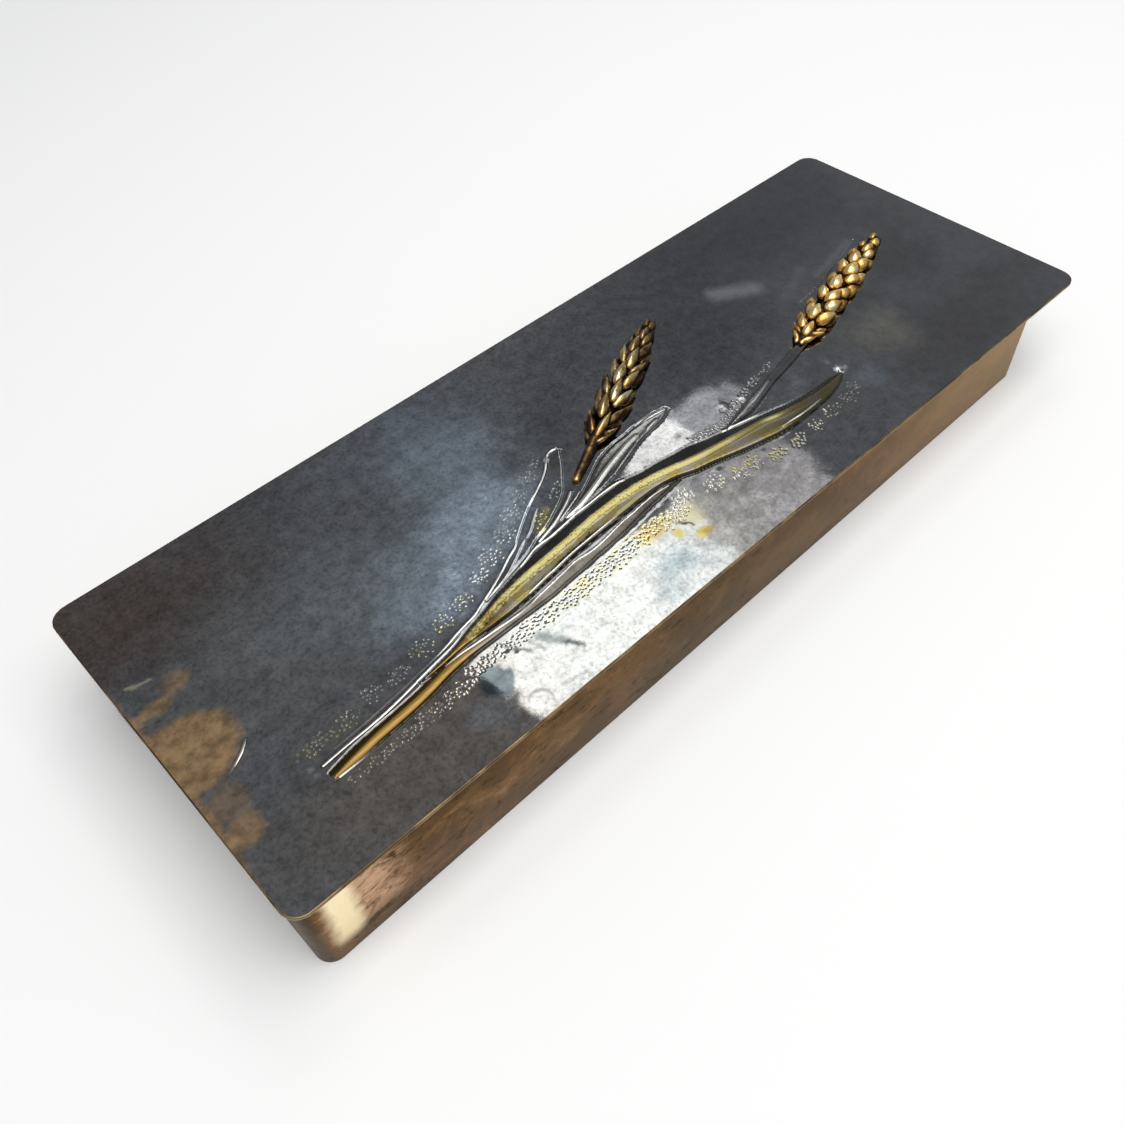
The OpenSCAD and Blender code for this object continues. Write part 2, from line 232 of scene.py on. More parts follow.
LONG_LEAF = Keel(
    lower=[(-86, -24.2), (-80, -24.1), (-75, -23.6), (-65, -23.7), (-60, -23.7), (-55, -23.4),
           (-50, -22.8), (-45, -22.3), (-40, -21.8), (-35, -21.5), (-30, -21.2), (-25, -21.1),
           (-20, -20.9), (-15, -20.7), (-10, -20.8), (-5, -21.7), (0, -23.5), (5, -24.6),
           (10, -26.0), (15, -27.3), (20, -28.4), (25, -29.4), (30, -30.0), (35, -30.1),
           (40, -29.9), (45, -29.5), (48, -29.0), (52, -27.7), (54.5, -26.3)],
    upper=[(-86, -23.5), (-80, -22.6), (-75, -21.7), (-70, -20.2), (-65, -19.0), (-60, -17.6),
           (-55, -16.5), (-50, -15.5), (-45, -14.4), (-40, -14.0), (-35, -13.6), (-30, -13.1),
           (-25, -13.0), (-20, -12.8), (-14, -13.1), (-10, -14.0), (-5, -14.5), (0, -15.3),
           (5, -16.0), (10, -17.5), (15, -18.7), (20, -20.2), (25, -21.3), (30, -22.4),
           (35, -23.7), (40, -24.6), (45, -25.0), (50, -25.2), (54.5, -25.9)],
    crest=[(-86, -24.0), (-80, -23.3), (-75, -22.5), (-70, -21.4), (-65, -20.3), (-60, -19.2),
           (-55, -18.6), (-50, -18.1), (-45, -17.9), (-40, -17.6), (-35, -17.2), (-30, -16.7),
           (-25, -16.5), (-20, -16.5), (-15, -16.8), (-10, -17.4), (-5, -18.4), (0, -19.8),
           (5, -20.9), (10, -21.6), (15, -22.3), (20, -22.9), (25, -23.6), (30, -25.0),
           (35, -25.9), (40, -26.6), (45, -26.8), (50, -26.6), (54.5, -26.2)],
    # How far below the crest its painted highlight lies, which is also that highlight's reach
    glow=[(-86, 0.4), (-70, 0.6), (-55, 0.42), (-45, 0.45), (-30, 0.62), (-10, 0.62), (0, 0.5),
          (6, 0.4), (14, 0.62), (21, 0.85), (27, 0.6), (31, 0.3), (54.5, 0.2)],
    height=[(-86, 0.3), (-75, 0.6), (-60, 1.0), (-40, 1.3), (20, 1.3), (40, 0.9), (54.5, 0.2)])
LEFT_BLADE = Dish(
    lower=[(-62, -17.3), (-55, -15.8), (-50, -14.6), (-46, -13.6), (-42, -12.0), (-38, -10.9),
           (-34, -9.2), (-30, -7.2), (-27, -5.2), (-24, -2.0), (-21, 1.4), (-18.2, 5.2)],
    upper=[(-62, -16.8), (-57, -14.7), (-50, -11.5), (-47, -10.1), (-44, -8.1), (-40, -5.4),
           (-36, -3.0), (-32, -0.8), (-28, 1.4), (-25, 3.5), (-22.4, 6.0), (-18.2, 6.8)],
    height=[(-62, 0.04), (-35, 0.05), (-18.2, 0.04)], weight=0.75)
RIGHT_BLADE = Dish(
    lower=[(-32, -12.1), (-27, -12.0), (-22, -11.6), (-17, -10.9), (-13, -10.0), (-8, -8.6),
           (-3, -6.8), (3, -5.6), (8, -4.9), (11.8, -3.4)],
    upper=[(-32, -11.3), (-28, -10.3), (-24, -8.7), (-20, -6.8), (-17, -5.3), (-14, -3.9),
           (-8, -2.4), (-3, -2.0), (3, -1.6), (8, -1.7), (11.8, -2.3)],
    height=[(-32, 0.06), (-10, 0.1), (11.8, 0.08)], weight=0.8)
RIGHT_STEM = Dish(
    lower=[(17, -19.0), (22, -19.0), (27, -18.9), (31, -18.0), (35, -17.0), (40, -15.7),
           (45, -14.9), (50, -14.0), (58.5, -12.0)],
    upper=[(17, -18.6), (20, -17.8), (25, -16.6), (30, -15.4), (35, -14.4), (40, -13.2),
           (45, -12.2), (50, -11.2), (58.5, -9.6)],
    height=[(17, 0.2), (25, 0.4), (50, 0.5), (58.5, 0.5)], weight=0.9)
AWN = Cord(
    [(70, 0.6), (80, 2.0), (92, 4.7), (106, 8.6)], 0.8,
    [(70, 0.1), (80, 0.22), (95, 0.2), (106, 0.08)], weight=0.3)
FORMS = (AWN, LEFT_BLADE, RIGHT_BLADE, RIGHT_STEM, GOLD_STALK, LONG_LEAF)

# Burnished silver lines, whose brightness along each line also paints where their highlight falls: half
# width, then the places along each line with how bright it is there
RIDGES = (
    (0.26, ((-108, -24.0, 0.2), (-100, -23.5, 0.3), (-95, -23.0, 0.3), (-90, -22.5, 0.25),
            (-85, -21.8, 0.25), (-80, -21.1, 0.35), (-75, -20.1, 0.7), (-73, -19.6, 1.0),
            (-70, -19.0, 1.0), (-66, -18.2, 1.0), (-64, -17.4, 1.0), (-60, -15.9, 0.9),
            (-55, -13.8, 0.8), (-50, -11.3, 0.9), (-47, -10.0, 0.8), (-45.5, -9.1, 0.1))),
    (0.28, ((-112, -25.5, 0.7), (-105, -25.0, 0.6), (-100, -24.8, 0.9), (-95, -24.4, 1.0),
            (-90, -23.7, 0.9), (-85, -22.8, 0.7), (-80, -22.0, 0.6), (-76, -21.4, 0.4),
            (-72, -20.4, 0.1))),
    (0.18, ((-62, -17.2, 0.2), (-58, -16.2, 0.4), (-54, -14.9, 0.4), (-50, -13.0, 0.5),
            (-46, -10.8, 0.5), (-44, -9.9, 0.1))),
    (0.2, ((-43, -9.6, 0.4), (-41, -8.6, 0.6), (-38, -6.4, 0.4), (-35.5, -4.8, 0.2))),
    (0.26, ((-36, -3.0, 0.1), (-33, -1.3, 0.5), (-30, 0.3, 0.8), (-28, 1.4, 0.9),
            (-25.5, 3.1, 1.0), (-22.8, 5.5, 1.0), (-21.2, 6.7, 0.8), (-19.5, 7.1, 0.7),
            (-18.2, 6.7, 0.5), (-17.4, 5.7, 0.2))),
    (0.34, ((-50, -15.3, 0.5), (-47, -14.4, 0.8), (-45, -13.8, 1.0), (-42, -13.4, 1.0),
            (-40, -13.5, 0.7), (-35, -13.1, 0.8), (-30, -12.6, 1.0), (-25, -12.4, 1.0),
            (-20, -12.2, 1.0), (-15.5, -12.4, 1.0), (-14, -12.7, 0.3))),
    (0.38, ((-42, -12.7, 0.8), (-38, -11.7, 0.6), (-36, -11.2, 0.8), (-33, -10.1, 1.0),
            (-30, -8.8, 1.0), (-28, -7.8, 1.0), (-26, -6.6, 1.0))),
    (0.2, ((-34, -11.3, 0.4), (-31, -10.4, 0.8), (-28, -9.4, 1.0), (-26, -8.7, 0.9),
           (-24.5, -8.0, 0.5))),
    (0.7, ((-32, -11.7, 0.6), (-28, -11.3, 0.9), (-24, -10.3, 1.0), (-20, -9.1, 1.0),
           (-16, -7.8, 1.0), (-12, -6.6, 0.9), (-8, -5.6, 0.9), (-4, -4.6, 0.7), (-1, -4.1, 0.3))),
    (0.3, ((-14, -9.8, 0.2), (-10, -8.4, 0.5), (-6, -7.2, 0.4), (-3, -6.2, 0.1))),
    (0.4, ((2, -1.6, 0.3), (5, -1.7, 0.8), (9, -2.1, 1.0), (11.3, -2.4, 0.9))),
    (0.35, ((3, -4.4, 0.3), (5, -4.1, 0.7), (7, -3.9, 0.5))),
    (0.26, ((-54, -22.8, 0.5), (-50, -22.3, 0.9), (-48, -22.1, 0.6), (-45, -21.8, 1.0),
            (-40, -21.2, 1.0), (-35, -20.9, 1.0), (-30, -20.7, 0.9), (-27, -20.6, 0.5),
            (-24, -20.6, 0.1))),
    (0.28, ((-80, -24.6, 0.2), (-76, -24.5, 0.6), (-70, -24.8, 1.0), (-65, -25.0, 1.0),
            (-61, -25.2, 0.6), (-57, -25.2, 0.1), (-53.5, -24.7, 0.7), (-50, -24.3, 0.9),
            (-45, -23.7, 0.8), (-40, -23.2, 0.9), (-36.7, -23.6, 0.8), (-33.7, -23.6, 0.9),
            (-30, -23.2, 1.0), (-25, -22.4, 1.0), (-20, -22.1, 1.0), (-15.8, -21.7, 1.0),
            (-12, -21.5, 0.9), (-8, -21.8, 0.6))),
    (0.3, ((15.5, -18.6, 0.5), (17.5, -18.9, 1.0), (20, -19.3, 1.0), (22.5, -19.9, 0.9),
           (25.5, -20.5, 0.6), (29, -21.2, 0.1))),
    (0.3, ((27, -28.4, 0.3), (30, -28.6, 0.7), (33, -28.9, 1.0), (36, -29.0, 0.7),
           (40, -28.9, 0.5), (42, -28.8, 0.2))),
    (0.3, ((22, -18.1, 0.3), (26, -17.5, 0.35), (30, -16.8, 0.5), (35, -15.6, 0.4),
           (38, -14.8, 0.2))),
    (0.24, ((-111, -29.9, 0.6), (-108, -29.9, 0.6), (-105, -29.9, 0.35), (-98, -29.5, 0.25),
            (-92, -29.1, 0.2))),
    (0.3, ((-126.2, -13.9, 0.1), (-124.3, -12.9, 0.5), (-121.6, -11.2, 0.7), (-119.8, -9.6, 0.3))),
)

# The step over which a line's lean is taken, and the distance given where no line is near
RIDGE_STEP, NO_RIDGE = 0.4, 9.0

# Matting round the spray: where a patch lies, its reach along and across, and how gilt it is
MATTED_PATCHES = (
    (-109.5, -20.6, 6.0, 2.6, 0.5), (-102.0, -20.4, 4.2, 2.5, 0.5), (-95.2, -19.0, 3.9, 2.7, 0.1),
    (-88.0, -19.0, 3.8, 2.7, 0.1), (-80.4, -17.0, 3.9, 3.2, 0.4), (-72.6, -15.2, 3.2, 2.9, 1.0),
    (-66.2, -13.6, 3.7, 2.7, 0.6), (-58.6, -11.0, 4.0, 2.7, 0.1), (-53.0, -8.4, 4.2, 3.3, 0.1),
    (-46.6, -5.6, 4.0, 3.3, 0.1), (-41.0, -2.4, 3.9, 3.3, 0.1), (-35.6, 1.1, 3.7, 3.1, 0.1),
    (-30.0, 4.3, 3.7, 2.7, 0.1), (-25.6, 7.0, 2.8, 1.9, 0.0),
    (-8.0, -26.6, 3.9, 2.8, 0.3), (0.4, -29.0, 3.8, 2.7, 0.3), (7.6, -31.2, 3.7, 2.7, 0.8),
    (12.0, -31.0, 3.4, 2.7, 1.0), (19.0, -33.2, 3.8, 2.6, 0.7), (26.6, -33.6, 3.8, 2.6, 0.6),
    (33.6, -33.8, 3.6, 2.6, 0.4), (41.0, -33.2, 3.7, 2.6, 0.4), (48.4, -33.0, 3.4, 2.8, 0.2),
    (52.0, -31.2, 2.8, 2.6, 0.1),
)
# Bands of matting: a middle line, with the half width and how gilt it is
MATTED_BANDS = (
    ((-110, -32.2, 1.2, 0.4), (-100, -32.2, 1.8, 0.3), (-90, -31.4, 2.3, 0.4), (-80, -30.8, 2.7, 0.3),
     (-72, -29.6, 2.3, 0.1), (-60, -29.4, 2.6, 0.2), (-50, -29.3, 2.7, 0.6), (-40, -29.3, 2.7, 0.9),
     (-30, -28.9, 2.7, 0.8), (-22, -28.6, 3.0, 1.0), (-15, -29.4, 3.0, 0.9), (-11, -29.6, 2.2, 0.7)),
    ((7, -15.3, 0.9, 0.0), (11, -16.0, 1.2, 0.0), (17, -16.6, 1.3, 0.0), (24, -14.6, 1.5, 0.0),
     (33, -12.4, 1.4, 0.0), (44, -10.2, 1.1, 0.0)),
)
# Matting inside the left blade, laid out like the patches above
BLADE_PATCHES = ((-37.0, -8.3, 4.4, 1.7, 1.0), (-28.0, -3.8, 4.2, 1.5, 0.0))
# The cosine and sine of the left blade's slant, and how far the matting keeps from its edge
BLADE_SLANT, BLADE_RIM = (0.84, 0.54), 0.9
# How far the matting round the spray keeps from every form
MATTING_GAP = 0.35
# Matting along the crest of the long leaf: where it starts, is full, fades and ends, then its reach
# and how far below the crest it lies
CREST_RUN = (-74, -70, -8, 0)
CREST_REACH, CREST_DROP = 1.2, 0.6
# Bright beads raised in the sheet: where, their reach, their height and how bright they are
BEADS = (
    (-113.9, -24.4, 0.6, 0.06, 0.5), (-113.9, -26.2, 0.5, 0.05, 0.3), (55.4, -24.3, 1.0, 0.3, 1.0),
    (56.8, -25.5, 0.8, 0.25, 0.9), (55.2, -18.8, 1.0, 0.05, 0.3), (55.2, -21.0, 0.9, 0.05, 0.3),
    (57.4, -10.5, 1.0, 0.3, 1.0), (22.4, -12.6, 1.4, 0.06, 0.5), (28.6, -13.8, 0.9, 0.1, 0.6),
)
# Knocks in the sheet: where, their reach and their depth
KNOCKS = (
    (-70.7, -43.6, 1.9, 0.035), (-57.4, -38.4, 1.3, 0.03), (-62.0, -46.0, 3.2, 0.012),
    (-75.0, -34.5, 2.6, -0.012), (-67.6, -29.9, 0.9, 0.03), (-66.2, -31.6, 0.9, 0.03),
    (-64.8, -33.2, 0.9, 0.03), (-31.5, -36.0, 3.0, 0.012), (-5.0, -12.2, 2.2, 0.02),
    (6.0, -12.6, 1.8, 0.02), (12.7, -11.2, 1.3, 0.03), (22.0, -11.8, 1.6, -0.03),
    (18.0, -9.0, 3.0, 0.02), (2.5, -32.5, 1.9, 0.02), (4.5, -27.5, 1.6, -0.02),
    (11.5, -28.6, 1.6, -0.03), (16.5, -30.0, 1.6, -0.03), (-124, -4, 4.0, 0.05),
    (-125, 9, 3.0, -0.04), (-131, -16.5, 1.7, 0.1), (-128, -18.5, 1.2, -0.05),
    (-129.5, -24.5, 1.5, 0.06), (-132, -28, 1.2, 0.06), (-131, -34, 1.2, 0.06), (64, 18, 6.0, 0.03),
    (-15.5, -38.5, 1.6, 0.03), (-5, -37, 2.0, 0.03), (5, -38, 2.2, 0.03), (11, -43, 2.4, -0.03),
    (16, -37, 2.0, 0.03), (-10, -44, 2.2, -0.02),
)


def matting_cover(u, v):
    """How thickly the matting covers each place, below zero outside it, and how gilt it is."""
    cover, gilt = np.full_like(u, -FAR), np.zeros_like(u)

    def lay(here, share):
        gilt[:] = np.where(here > cover, share, gilt)
        cover[:] = np.maximum(cover, here)

    for mid_u, mid_v, along, across, share in MATTED_PATCHES:
        lay(1 - np.hypot((u - mid_u) / along, (v - mid_v) / across), share)
    for band in MATTED_BANDS:
        middle, half, share = (flow([(knot[0], knot[k]) for knot in band], u) for k in (1, 2, 3))
        beyond = np.maximum(np.maximum(band[0][0] - u, u - band[-1][0]), 0)
        lay(1 - np.hypot(v - middle, beyond) / half, share)
    for form in FORMS:
        cover[form.inset(u, v) > -MATTING_GAP] = -FAR
    inside = LEFT_BLADE.inset(u, v) > BLADE_RIM
    c, s = BLADE_SLANT
    for mid_u, mid_v, along, across, share in BLADE_PATCHES:
        off_u, off_v = u - mid_u, v - mid_v
        far = np.hypot((off_u * c + off_v * s) / along, (off_v * c - off_u * s) / across)
        lay(np.where(inside, 1 - far, -FAR), share)
    start, full, fading, end = CREST_RUN
    run = rise(u, start, full) * (1 - rise(u, fading, end))
    off = np.abs(flow(LONG_LEAF.crest, u) - v - CREST_DROP)
    lay((1 - off / CREST_REACH) * run - (run < 0.01), 1.0)
    return cover, gilt


def nearest_ridge(u, v):
    """Distance to the nearest burnished line, in half widths of it and in millimetres, and how
    bright the line is there."""
    far, reach, shine = np.full_like(u, NO_RIDGE), np.full_like(u, NO_RIDGE), np.zeros_like(u)
    for half, line in RIDGES:
        path, glow = ([(knot[0], knot[k]) for knot in line] for k in (1, 2))
        middle = flow(path, u)
        lean = (flow(path, u + RIDGE_STEP) - flow(path, u - RIDGE_STEP)) / (2 * RIDGE_STEP)
        beyond = np.maximum(np.maximum(line[0][0] - u, u - line[-1][0]), 0)
        off = np.hypot((v - middle) / np.sqrt(1 + lean ** 2), beyond)
        nearer = off / half < far
        far = np.where(nearer, off / half, far)
        reach = np.where(nearer, off, reach)
        shine = np.where(nearer, flow(glow, u), shine)
    return far, reach, shine


class Punching:
    """Punch marks set by hand on a loose grid, thinning out where the matting ends."""

    SEED = 5
    # How far a mark lies off the grid as a share of the pitch, and how deep it is struck
    LOOSENESS = 0.46
    DEPTHS = (0.6, 1.1)
    # The cover from which no mark is missing
    THICK = 0.5

    def __init__(self, pitch):
        rng = np.random.default_rng(self.SEED)
        self.pitch = pitch
        self.cells = int(DRAWN_LENGTH / pitch) // 2 * 2
        i, j = np.meshgrid(range(self.cells), range(self.cells), indexing="ij")
        middle = self.cells / 2
        wander = rng.uniform(-self.LOOSENESS, self.LOOSENESS, (2, *i.shape))
        self.u = (i - middle + 0.5 + wander[0]) * pitch
        self.v = (j - middle + 0.5 + wander[1]) * pitch
        cover, self.gilt = matting_cover(self.u, self.v)
        self.there = rng.uniform(0, 1, i.shape) < rise(cover, 0.0, self.THICK)
        self.deep = rng.uniform(*self.DEPTHS, i.shape)

    def nearest(self, u, v):
        """Distance to the nearest mark, its depth share and how gilt it is."""
        i = np.floor(u / self.pitch).astype(int) + self.cells // 2
        j = np.floor(v / self.pitch).astype(int) + self.cells // 2
        best, deep, gilt = np.full_like(u, FAR), np.zeros_like(u), np.zeros_like(u)
        for di in (-1, 0, 1):
            for dj in (-1, 0, 1):
                at = (np.clip(i + di, 0, self.cells - 1), np.clip(j + dj, 0, self.cells - 1))
                distance = np.where(self.there[at], np.hypot(u - self.u[at], v - self.v[at]), FAR)
                nearer = distance < best
                best = np.where(nearer, distance, best)
                deep = np.where(nearer, self.deep[at], deep)
                gilt = np.where(nearer, self.gilt[at], gilt)
        return best, deep, gilt


class WorkedFace:
    """Heights of the lid's face and the masks that its finish reads, at places of the drawing."""

    WAVES = 14
    WAVE_SEED = 11
    # The shortest and the longest wave, and how far from the border waves and knocks fade in
    WAVE_LENGTHS = (16, 70)
    WAVE_BORDER, KNOCK_BORDER = 9, 3
    # The burr beside a groove: how many groove widths out, and its share of the groove's depth
    BURR_OUT, BURR_SHARE = 2.3, 0.12
    # How high the sheet under a form may be, and how far inside its edge a form has fully risen
    SEAT, SHOULDER = 0.25, 0.4
    # How far a burnished line's ridge reaches, and a pit as a share of the punch pitch
    RIDGE_REACH, PIT_SHARE = 0.3, 0.23
    # The least depth that the size of a mark is worked out from
    LEAST_DEPTH = 0.1
    # The masks, with what each is away from the work; bright carries painted highlights along with
    # rubbed silver, and dark carries painted shade along with the black of hollows
    MASKS = {"gilt": 0.0, "bright": 0.0, "dark": 0.0, "edge": 1.0, "ridge": 4.0, "shine": 0.0,
             "mark": 1.5, "mark_gilt": 0.0}

    def __init__(self, u, v, lid):
        unit = lid.length / DRAWN_LENGTH
        self.u, self.v = u, v
        self.height = np.zeros_like(u)
        for mask, away in self.MASKS.items():
            setattr(self, mask, np.full_like(u, away))
        self.border = np.minimum(lid.length / unit / 2 - np.abs(u), lid.width / unit / 2 - np.abs(v))
        self.beat(lid.wave_height / unit)
        self.knock()
        for form in FORMS:
            self.raise_form(form, lid.relief, lid.groove_depth / unit, lid.groove_width / unit)
        self.burnish(lid.ridge_height / unit)
        self.punch(Punching(lid.punch_pitch / unit), lid.punch_depth / unit)

    def beat(self, amount):
        """Leaves the sheet a little uneven, but true at its border."""
        rng = np.random.default_rng(self.WAVE_SEED)
        for _ in range(self.WAVES):
            length, heading = rng.uniform(*self.WAVE_LENGTHS), rng.uniform(0, math.pi)
            phase = rng.uniform(0, 2 * math.pi)
            run = self.u * math.cos(heading) + self.v * math.sin(heading)
            swell = amount * length / self.WAVE_LENGTHS[1]
            self.height += swell * np.sin(2 * math.pi / length * run + phase)
        self.height *= rise(self.border, 0, self.WAVE_BORDER)

    def knock(self):
        """Adds the knocks that use has left, and the beads."""
        for mid_u, mid_v, reach, depth in KNOCKS:
            near = bump(np.hypot(self.u - mid_u, self.v - mid_v), reach)
            self.height -= depth * near * rise(self.border, 0, self.KNOCK_BORDER)
        for mid_u, mid_v, reach, height, glow in BEADS:
            near = bump(np.hypot(self.u - mid_u, self.v - mid_v), reach)
            self.height += height * near
            self.bright = np.maximum(self.bright, glow * rise(near, 0.3, 0.8))

    def raise_form(self, form, relief, groove_depth, groove_width):
        """Raises a form out of the sheet and chases a groove round it, which leaves a burr."""
        d = form.inset(self.u, self.v)
        inside, out = d > 0, np.maximum(-d, 0)
        groove = form.weight * bump(out, groove_width)
        burr = form.weight * bump(out - self.BURR_OUT * groove_width, groove_width)
        share, gilt, bright, dark = form.profile(self.u, self.v, d)
        top = flow(form.height, self.u) * relief * share * rise(d, 0, self.SHOULDER)
        sunk = groove_depth * bump(d, groove_width)
        self.height = np.where(inside, np.minimum(self.height, self.SEAT) + top - sunk,
                               self.height + groove_depth * (self.BURR_SHARE * burr - groove))
        self.gilt = np.where(inside, gilt, self.gilt)
        self.bright = np.where(inside, form.weight * bright, self.bright)
        self.dark = np.where(inside, form.weight * dark, self.dark)
        own = np.abs(d) + 1 - form.weight
        self.edge = np.clip(np.where(inside, own, np.minimum(self.edge, own)), 0, 1)

    def burnish(self, amount):
        """Raises the burnished lines a little."""
        far, reach, self.shine = nearest_ridge(self.u, self.v)
        self.ridge = np.minimum(far, self.MASKS["ridge"])
        self.height += amount * self.shine * bump(reach, self.RIDGE_REACH)

    def punch(self, marks, depth):
        """Punches the matting: a pit for each mark, whose distance is kept."""
        distance, deep, gilding = marks.nearest(self.u, self.v)
        self.height -= depth * deep * bump(distance, self.PIT_SHARE * marks.pitch)
        self.mark = np.minimum(distance / np.maximum(deep, self.LEAST_DEPTH), self.MASKS["mark"])
        self.mark_gilt = gilding


# Settings


class LidSettings(PropertyGroup):
    """Sizes of the beaten lid plate."""

    length: FloatProperty(
        name="Length", description="Length of the lid plate", default=PLATE_LENGTH, unit="LENGTH")
    width: FloatProperty(
        name="Width", description="Width of the lid plate", default=PLATE_WIDTH, unit="LENGTH")
    skew: FloatProperty(
        name="Skew", description="How far the lid plate sits askew of the body",
        default=SKEW, unit="ROTATION")
    corner_radius: FloatProperty(
        name="Corner radius", description="Radius of the corners seen from above",
        default=CORNER_RADIUS, unit="LENGTH")
    edge_ease: FloatProperty(
        name="Edge ease", description="How far the sheet's cut edges are eased",
        default=0.2 * MM, unit="LENGTH")
    pitch: FloatProperty(
        name="Mesh pitch", description="Distance between the points of the plain sheet",
        default=1.7 * MM, unit="LENGTH")
    relief: FloatProperty(
        name="Relief", description="Heights of the worked forms against the drawn heights",
        default=1.0)
    groove_depth: FloatProperty(
        name="Groove depth", description="Depth of the chased outlines",
        default=0.16 * MM, unit="LENGTH")
    groove_width: FloatProperty(
        name="Groove width", description="Reach of the chased outlines to each side",
        default=0.25 * MM, unit="LENGTH")
    ridge_height: FloatProperty(
        name="Ridge height", description="Height of the burnished lines",
        default=0.12 * MM, unit="LENGTH")
    wave_height: FloatProperty(
        name="Wave height", description="Unevenness of the beaten sheet",
        default=0.012 * MM, unit="LENGTH")
    punch_pitch: FloatProperty(
        name="Punch pitch", description="Distance between the punch marks",
        default=0.9 * MM, unit="LENGTH")
    punch_depth: FloatProperty(
        name="Punch depth", description="Depth of the punch marks",
        default=0.04 * MM, unit="LENGTH")


class EarSettings(PropertyGroup):
    """Sizes of the two cast wheat ears."""

    width: FloatProperty(
        name="Width", description="Width of an ear at its widest", default=10.8 * MM, unit="LENGTH")
    height: FloatProperty(
        name="Height", description="Height of an ear above the lid plate",
        default=4.85 * MM, unit="LENGTH")
    tier_pitch: FloatProperty(
        name="Tier pitch", description="Distance from one tier of grains to the next",
        default=6.4 * MM, unit="LENGTH")
    grain_length: FloatProperty(
        name="Grain length", description="Length of a grain", default=7.2 * MM, unit="LENGTH")
    grain_radius: FloatProperty(
        name="Grain radius", description="Radius of a grain", default=1.32 * MM, unit="LENGTH")
    stem_length: FloatProperty(
        name="Stem length", description="Length of the left ear's own stem",
        default=14 * MM, unit="LENGTH")
    stem_radius: FloatProperty(
        name="Stem radius", description="Radius of the stems", default=1.3 * MM, unit="LENGTH")
    skin: FloatProperty(
        name="Skin detail", description="Fineness of the cast skin", default=0.2 * MM, unit="LENGTH")


class CaseSettings(PropertyGroup):
    """How far the edges of the body, the hinge and the lining are eased."""

    wall_ease: FloatProperty(
        name="Wall ease", description="Ease of the wall's edges", default=0.22 * MM, unit="LENGTH")
    base_ease: FloatProperty(
        name="Base ease", description="Ease of the base's edges", default=0.15 * MM, unit="LENGTH")
    leaf_ease: FloatProperty(
        name="Leaf ease", description="Ease of the hinge leaves' edges",
        default=0.1 * MM, unit="LENGTH")
    board_ease: FloatProperty(
        name="Board ease", description="Ease of the boards' edges", default=0.35 * MM, unit="LENGTH")


class FinishSettings(PropertyGroup):
    """Colours of the metals and the wood."""

    tarnish: FloatVectorProperty(
        name="Tarnish", description="Tarnished silvering on the lid",
        default=(0.205, 0.207, 0.215), subtype="COLOR")
    # Paler clouds that are partly a milky haze and partly painted glare
    haze: FloatVectorProperty(
        name="Haze", description="Paler clouds in the tarnish",
        default=(0.56, 0.67, 0.78), subtype="COLOR")
    # Laid where the silvering is rubbed bright, and also where highlights are painted on the leaves and
    # the burnished lines
    silver: FloatVectorProperty(
        name="Rubbed silver", description="Silvering where it is rubbed bright",
        default=(0.86, 0.85, 0.80), subtype="COLOR")
    # Pale gilt laid where the highlight is painted along the long leaf's crest
    gilt: FloatVectorProperty(
        name="Gilt crest", description="Pale gold on the crest of the long leaf",
        default=(0.25, 0.225, 0.085), subtype="COLOR")
    olive: FloatVectorProperty(
        name="Olive gold", description="Dull gold on the slope of the long leaf",
        default=(0.19, 0.155, 0.055), subtype="COLOR")
    amber: FloatVectorProperty(
        name="Amber gold", description="Deep gold on the stalk of the long leaf",
        default=(0.25, 0.155, 0.045), subtype="COLOR")
    brass: FloatVectorProperty(
        name="Brass", description="Rubbed brass", default=(0.87, 0.66, 0.27), subtype="COLOR")
    bronze: FloatVectorProperty(
        name="Bronze", description="Darkened brass in the hollows",
        default=(0.05, 0.031, 0.016), subtype="COLOR")
    patina: FloatVectorProperty(
        name="Patina", description="Brown patina on the body",
        default=(0.135, 0.069, 0.026), subtype="COLOR")
    wood: FloatVectorProperty(
        name="Wood", description="Wood of the lining", default=(0.36, 0.17, 0.075), subtype="COLOR")


class StageSettings(PropertyGroup):
    """The camera, the floor and the lights."""

    lens: FloatProperty(
        name="Lens", description="Focal length of the camera in millimetres", default=33.68)
    floor_colour: FloatVectorProperty(
        name="Floor", description="Colour of the floor", default=(0.88, 0.88, 0.88), subtype="COLOR")
    overhead: FloatProperty(
        name="Overhead light", description="Brightness of the soft box overhead", default=2.9)
    window: FloatProperty(
        name="Window light", description="Brightness of the window panes", default=3.1)
    horizon: FloatProperty(
        name="Horizon", description="Brightness of the room near the floor", default=0.26)
    zenith: FloatProperty(
        name="Zenith", description="Brightness of the room overhead", default=0.36)


# Shader signals


class Signal:
    """A shader socket that can be used in sums: each operator adds its Math node."""

    def __init__(self, finish, socket):
        self.finish = finish
        self.socket = socket

    def maths(self, operation, *terms):
        """Adds a Math node that works on these terms."""
        return self.finish.add("ShaderNodeMath", {"operation": operation}, dict(enumerate(terms)))

    def __add__(self, other):
        return self.maths("ADD", self, other)

    def __radd__(self, other):
        return self.maths("ADD", other, self)

    def __sub__(self, other):
        return self.maths("SUBTRACT", self, other)

    def __rsub__(self, other):
        return self.maths("SUBTRACT", other, self)

    def __mul__(self, other):
        return self.maths("MULTIPLY", self, other)

    def __rmul__(self, other):
        return self.maths("MULTIPLY", other, self)

    def most(self, other):
        """The larger of two values."""
        return self.maths("MAXIMUM", self, other)

    def clamp(self):
        """Keeps the value from 0 to 1."""
        return self.maths("MINIMUM", self.most(0.0), 1.0)

    def rise(self, low, high):
        """0 below low, 1 above high and a soft rise between."""
        return self.finish.add(
            "ShaderNodeMapRange", {"interpolation_type": "SMOOTHSTEP"},
            {"Value": self, "From Min": low, "From Max": high})


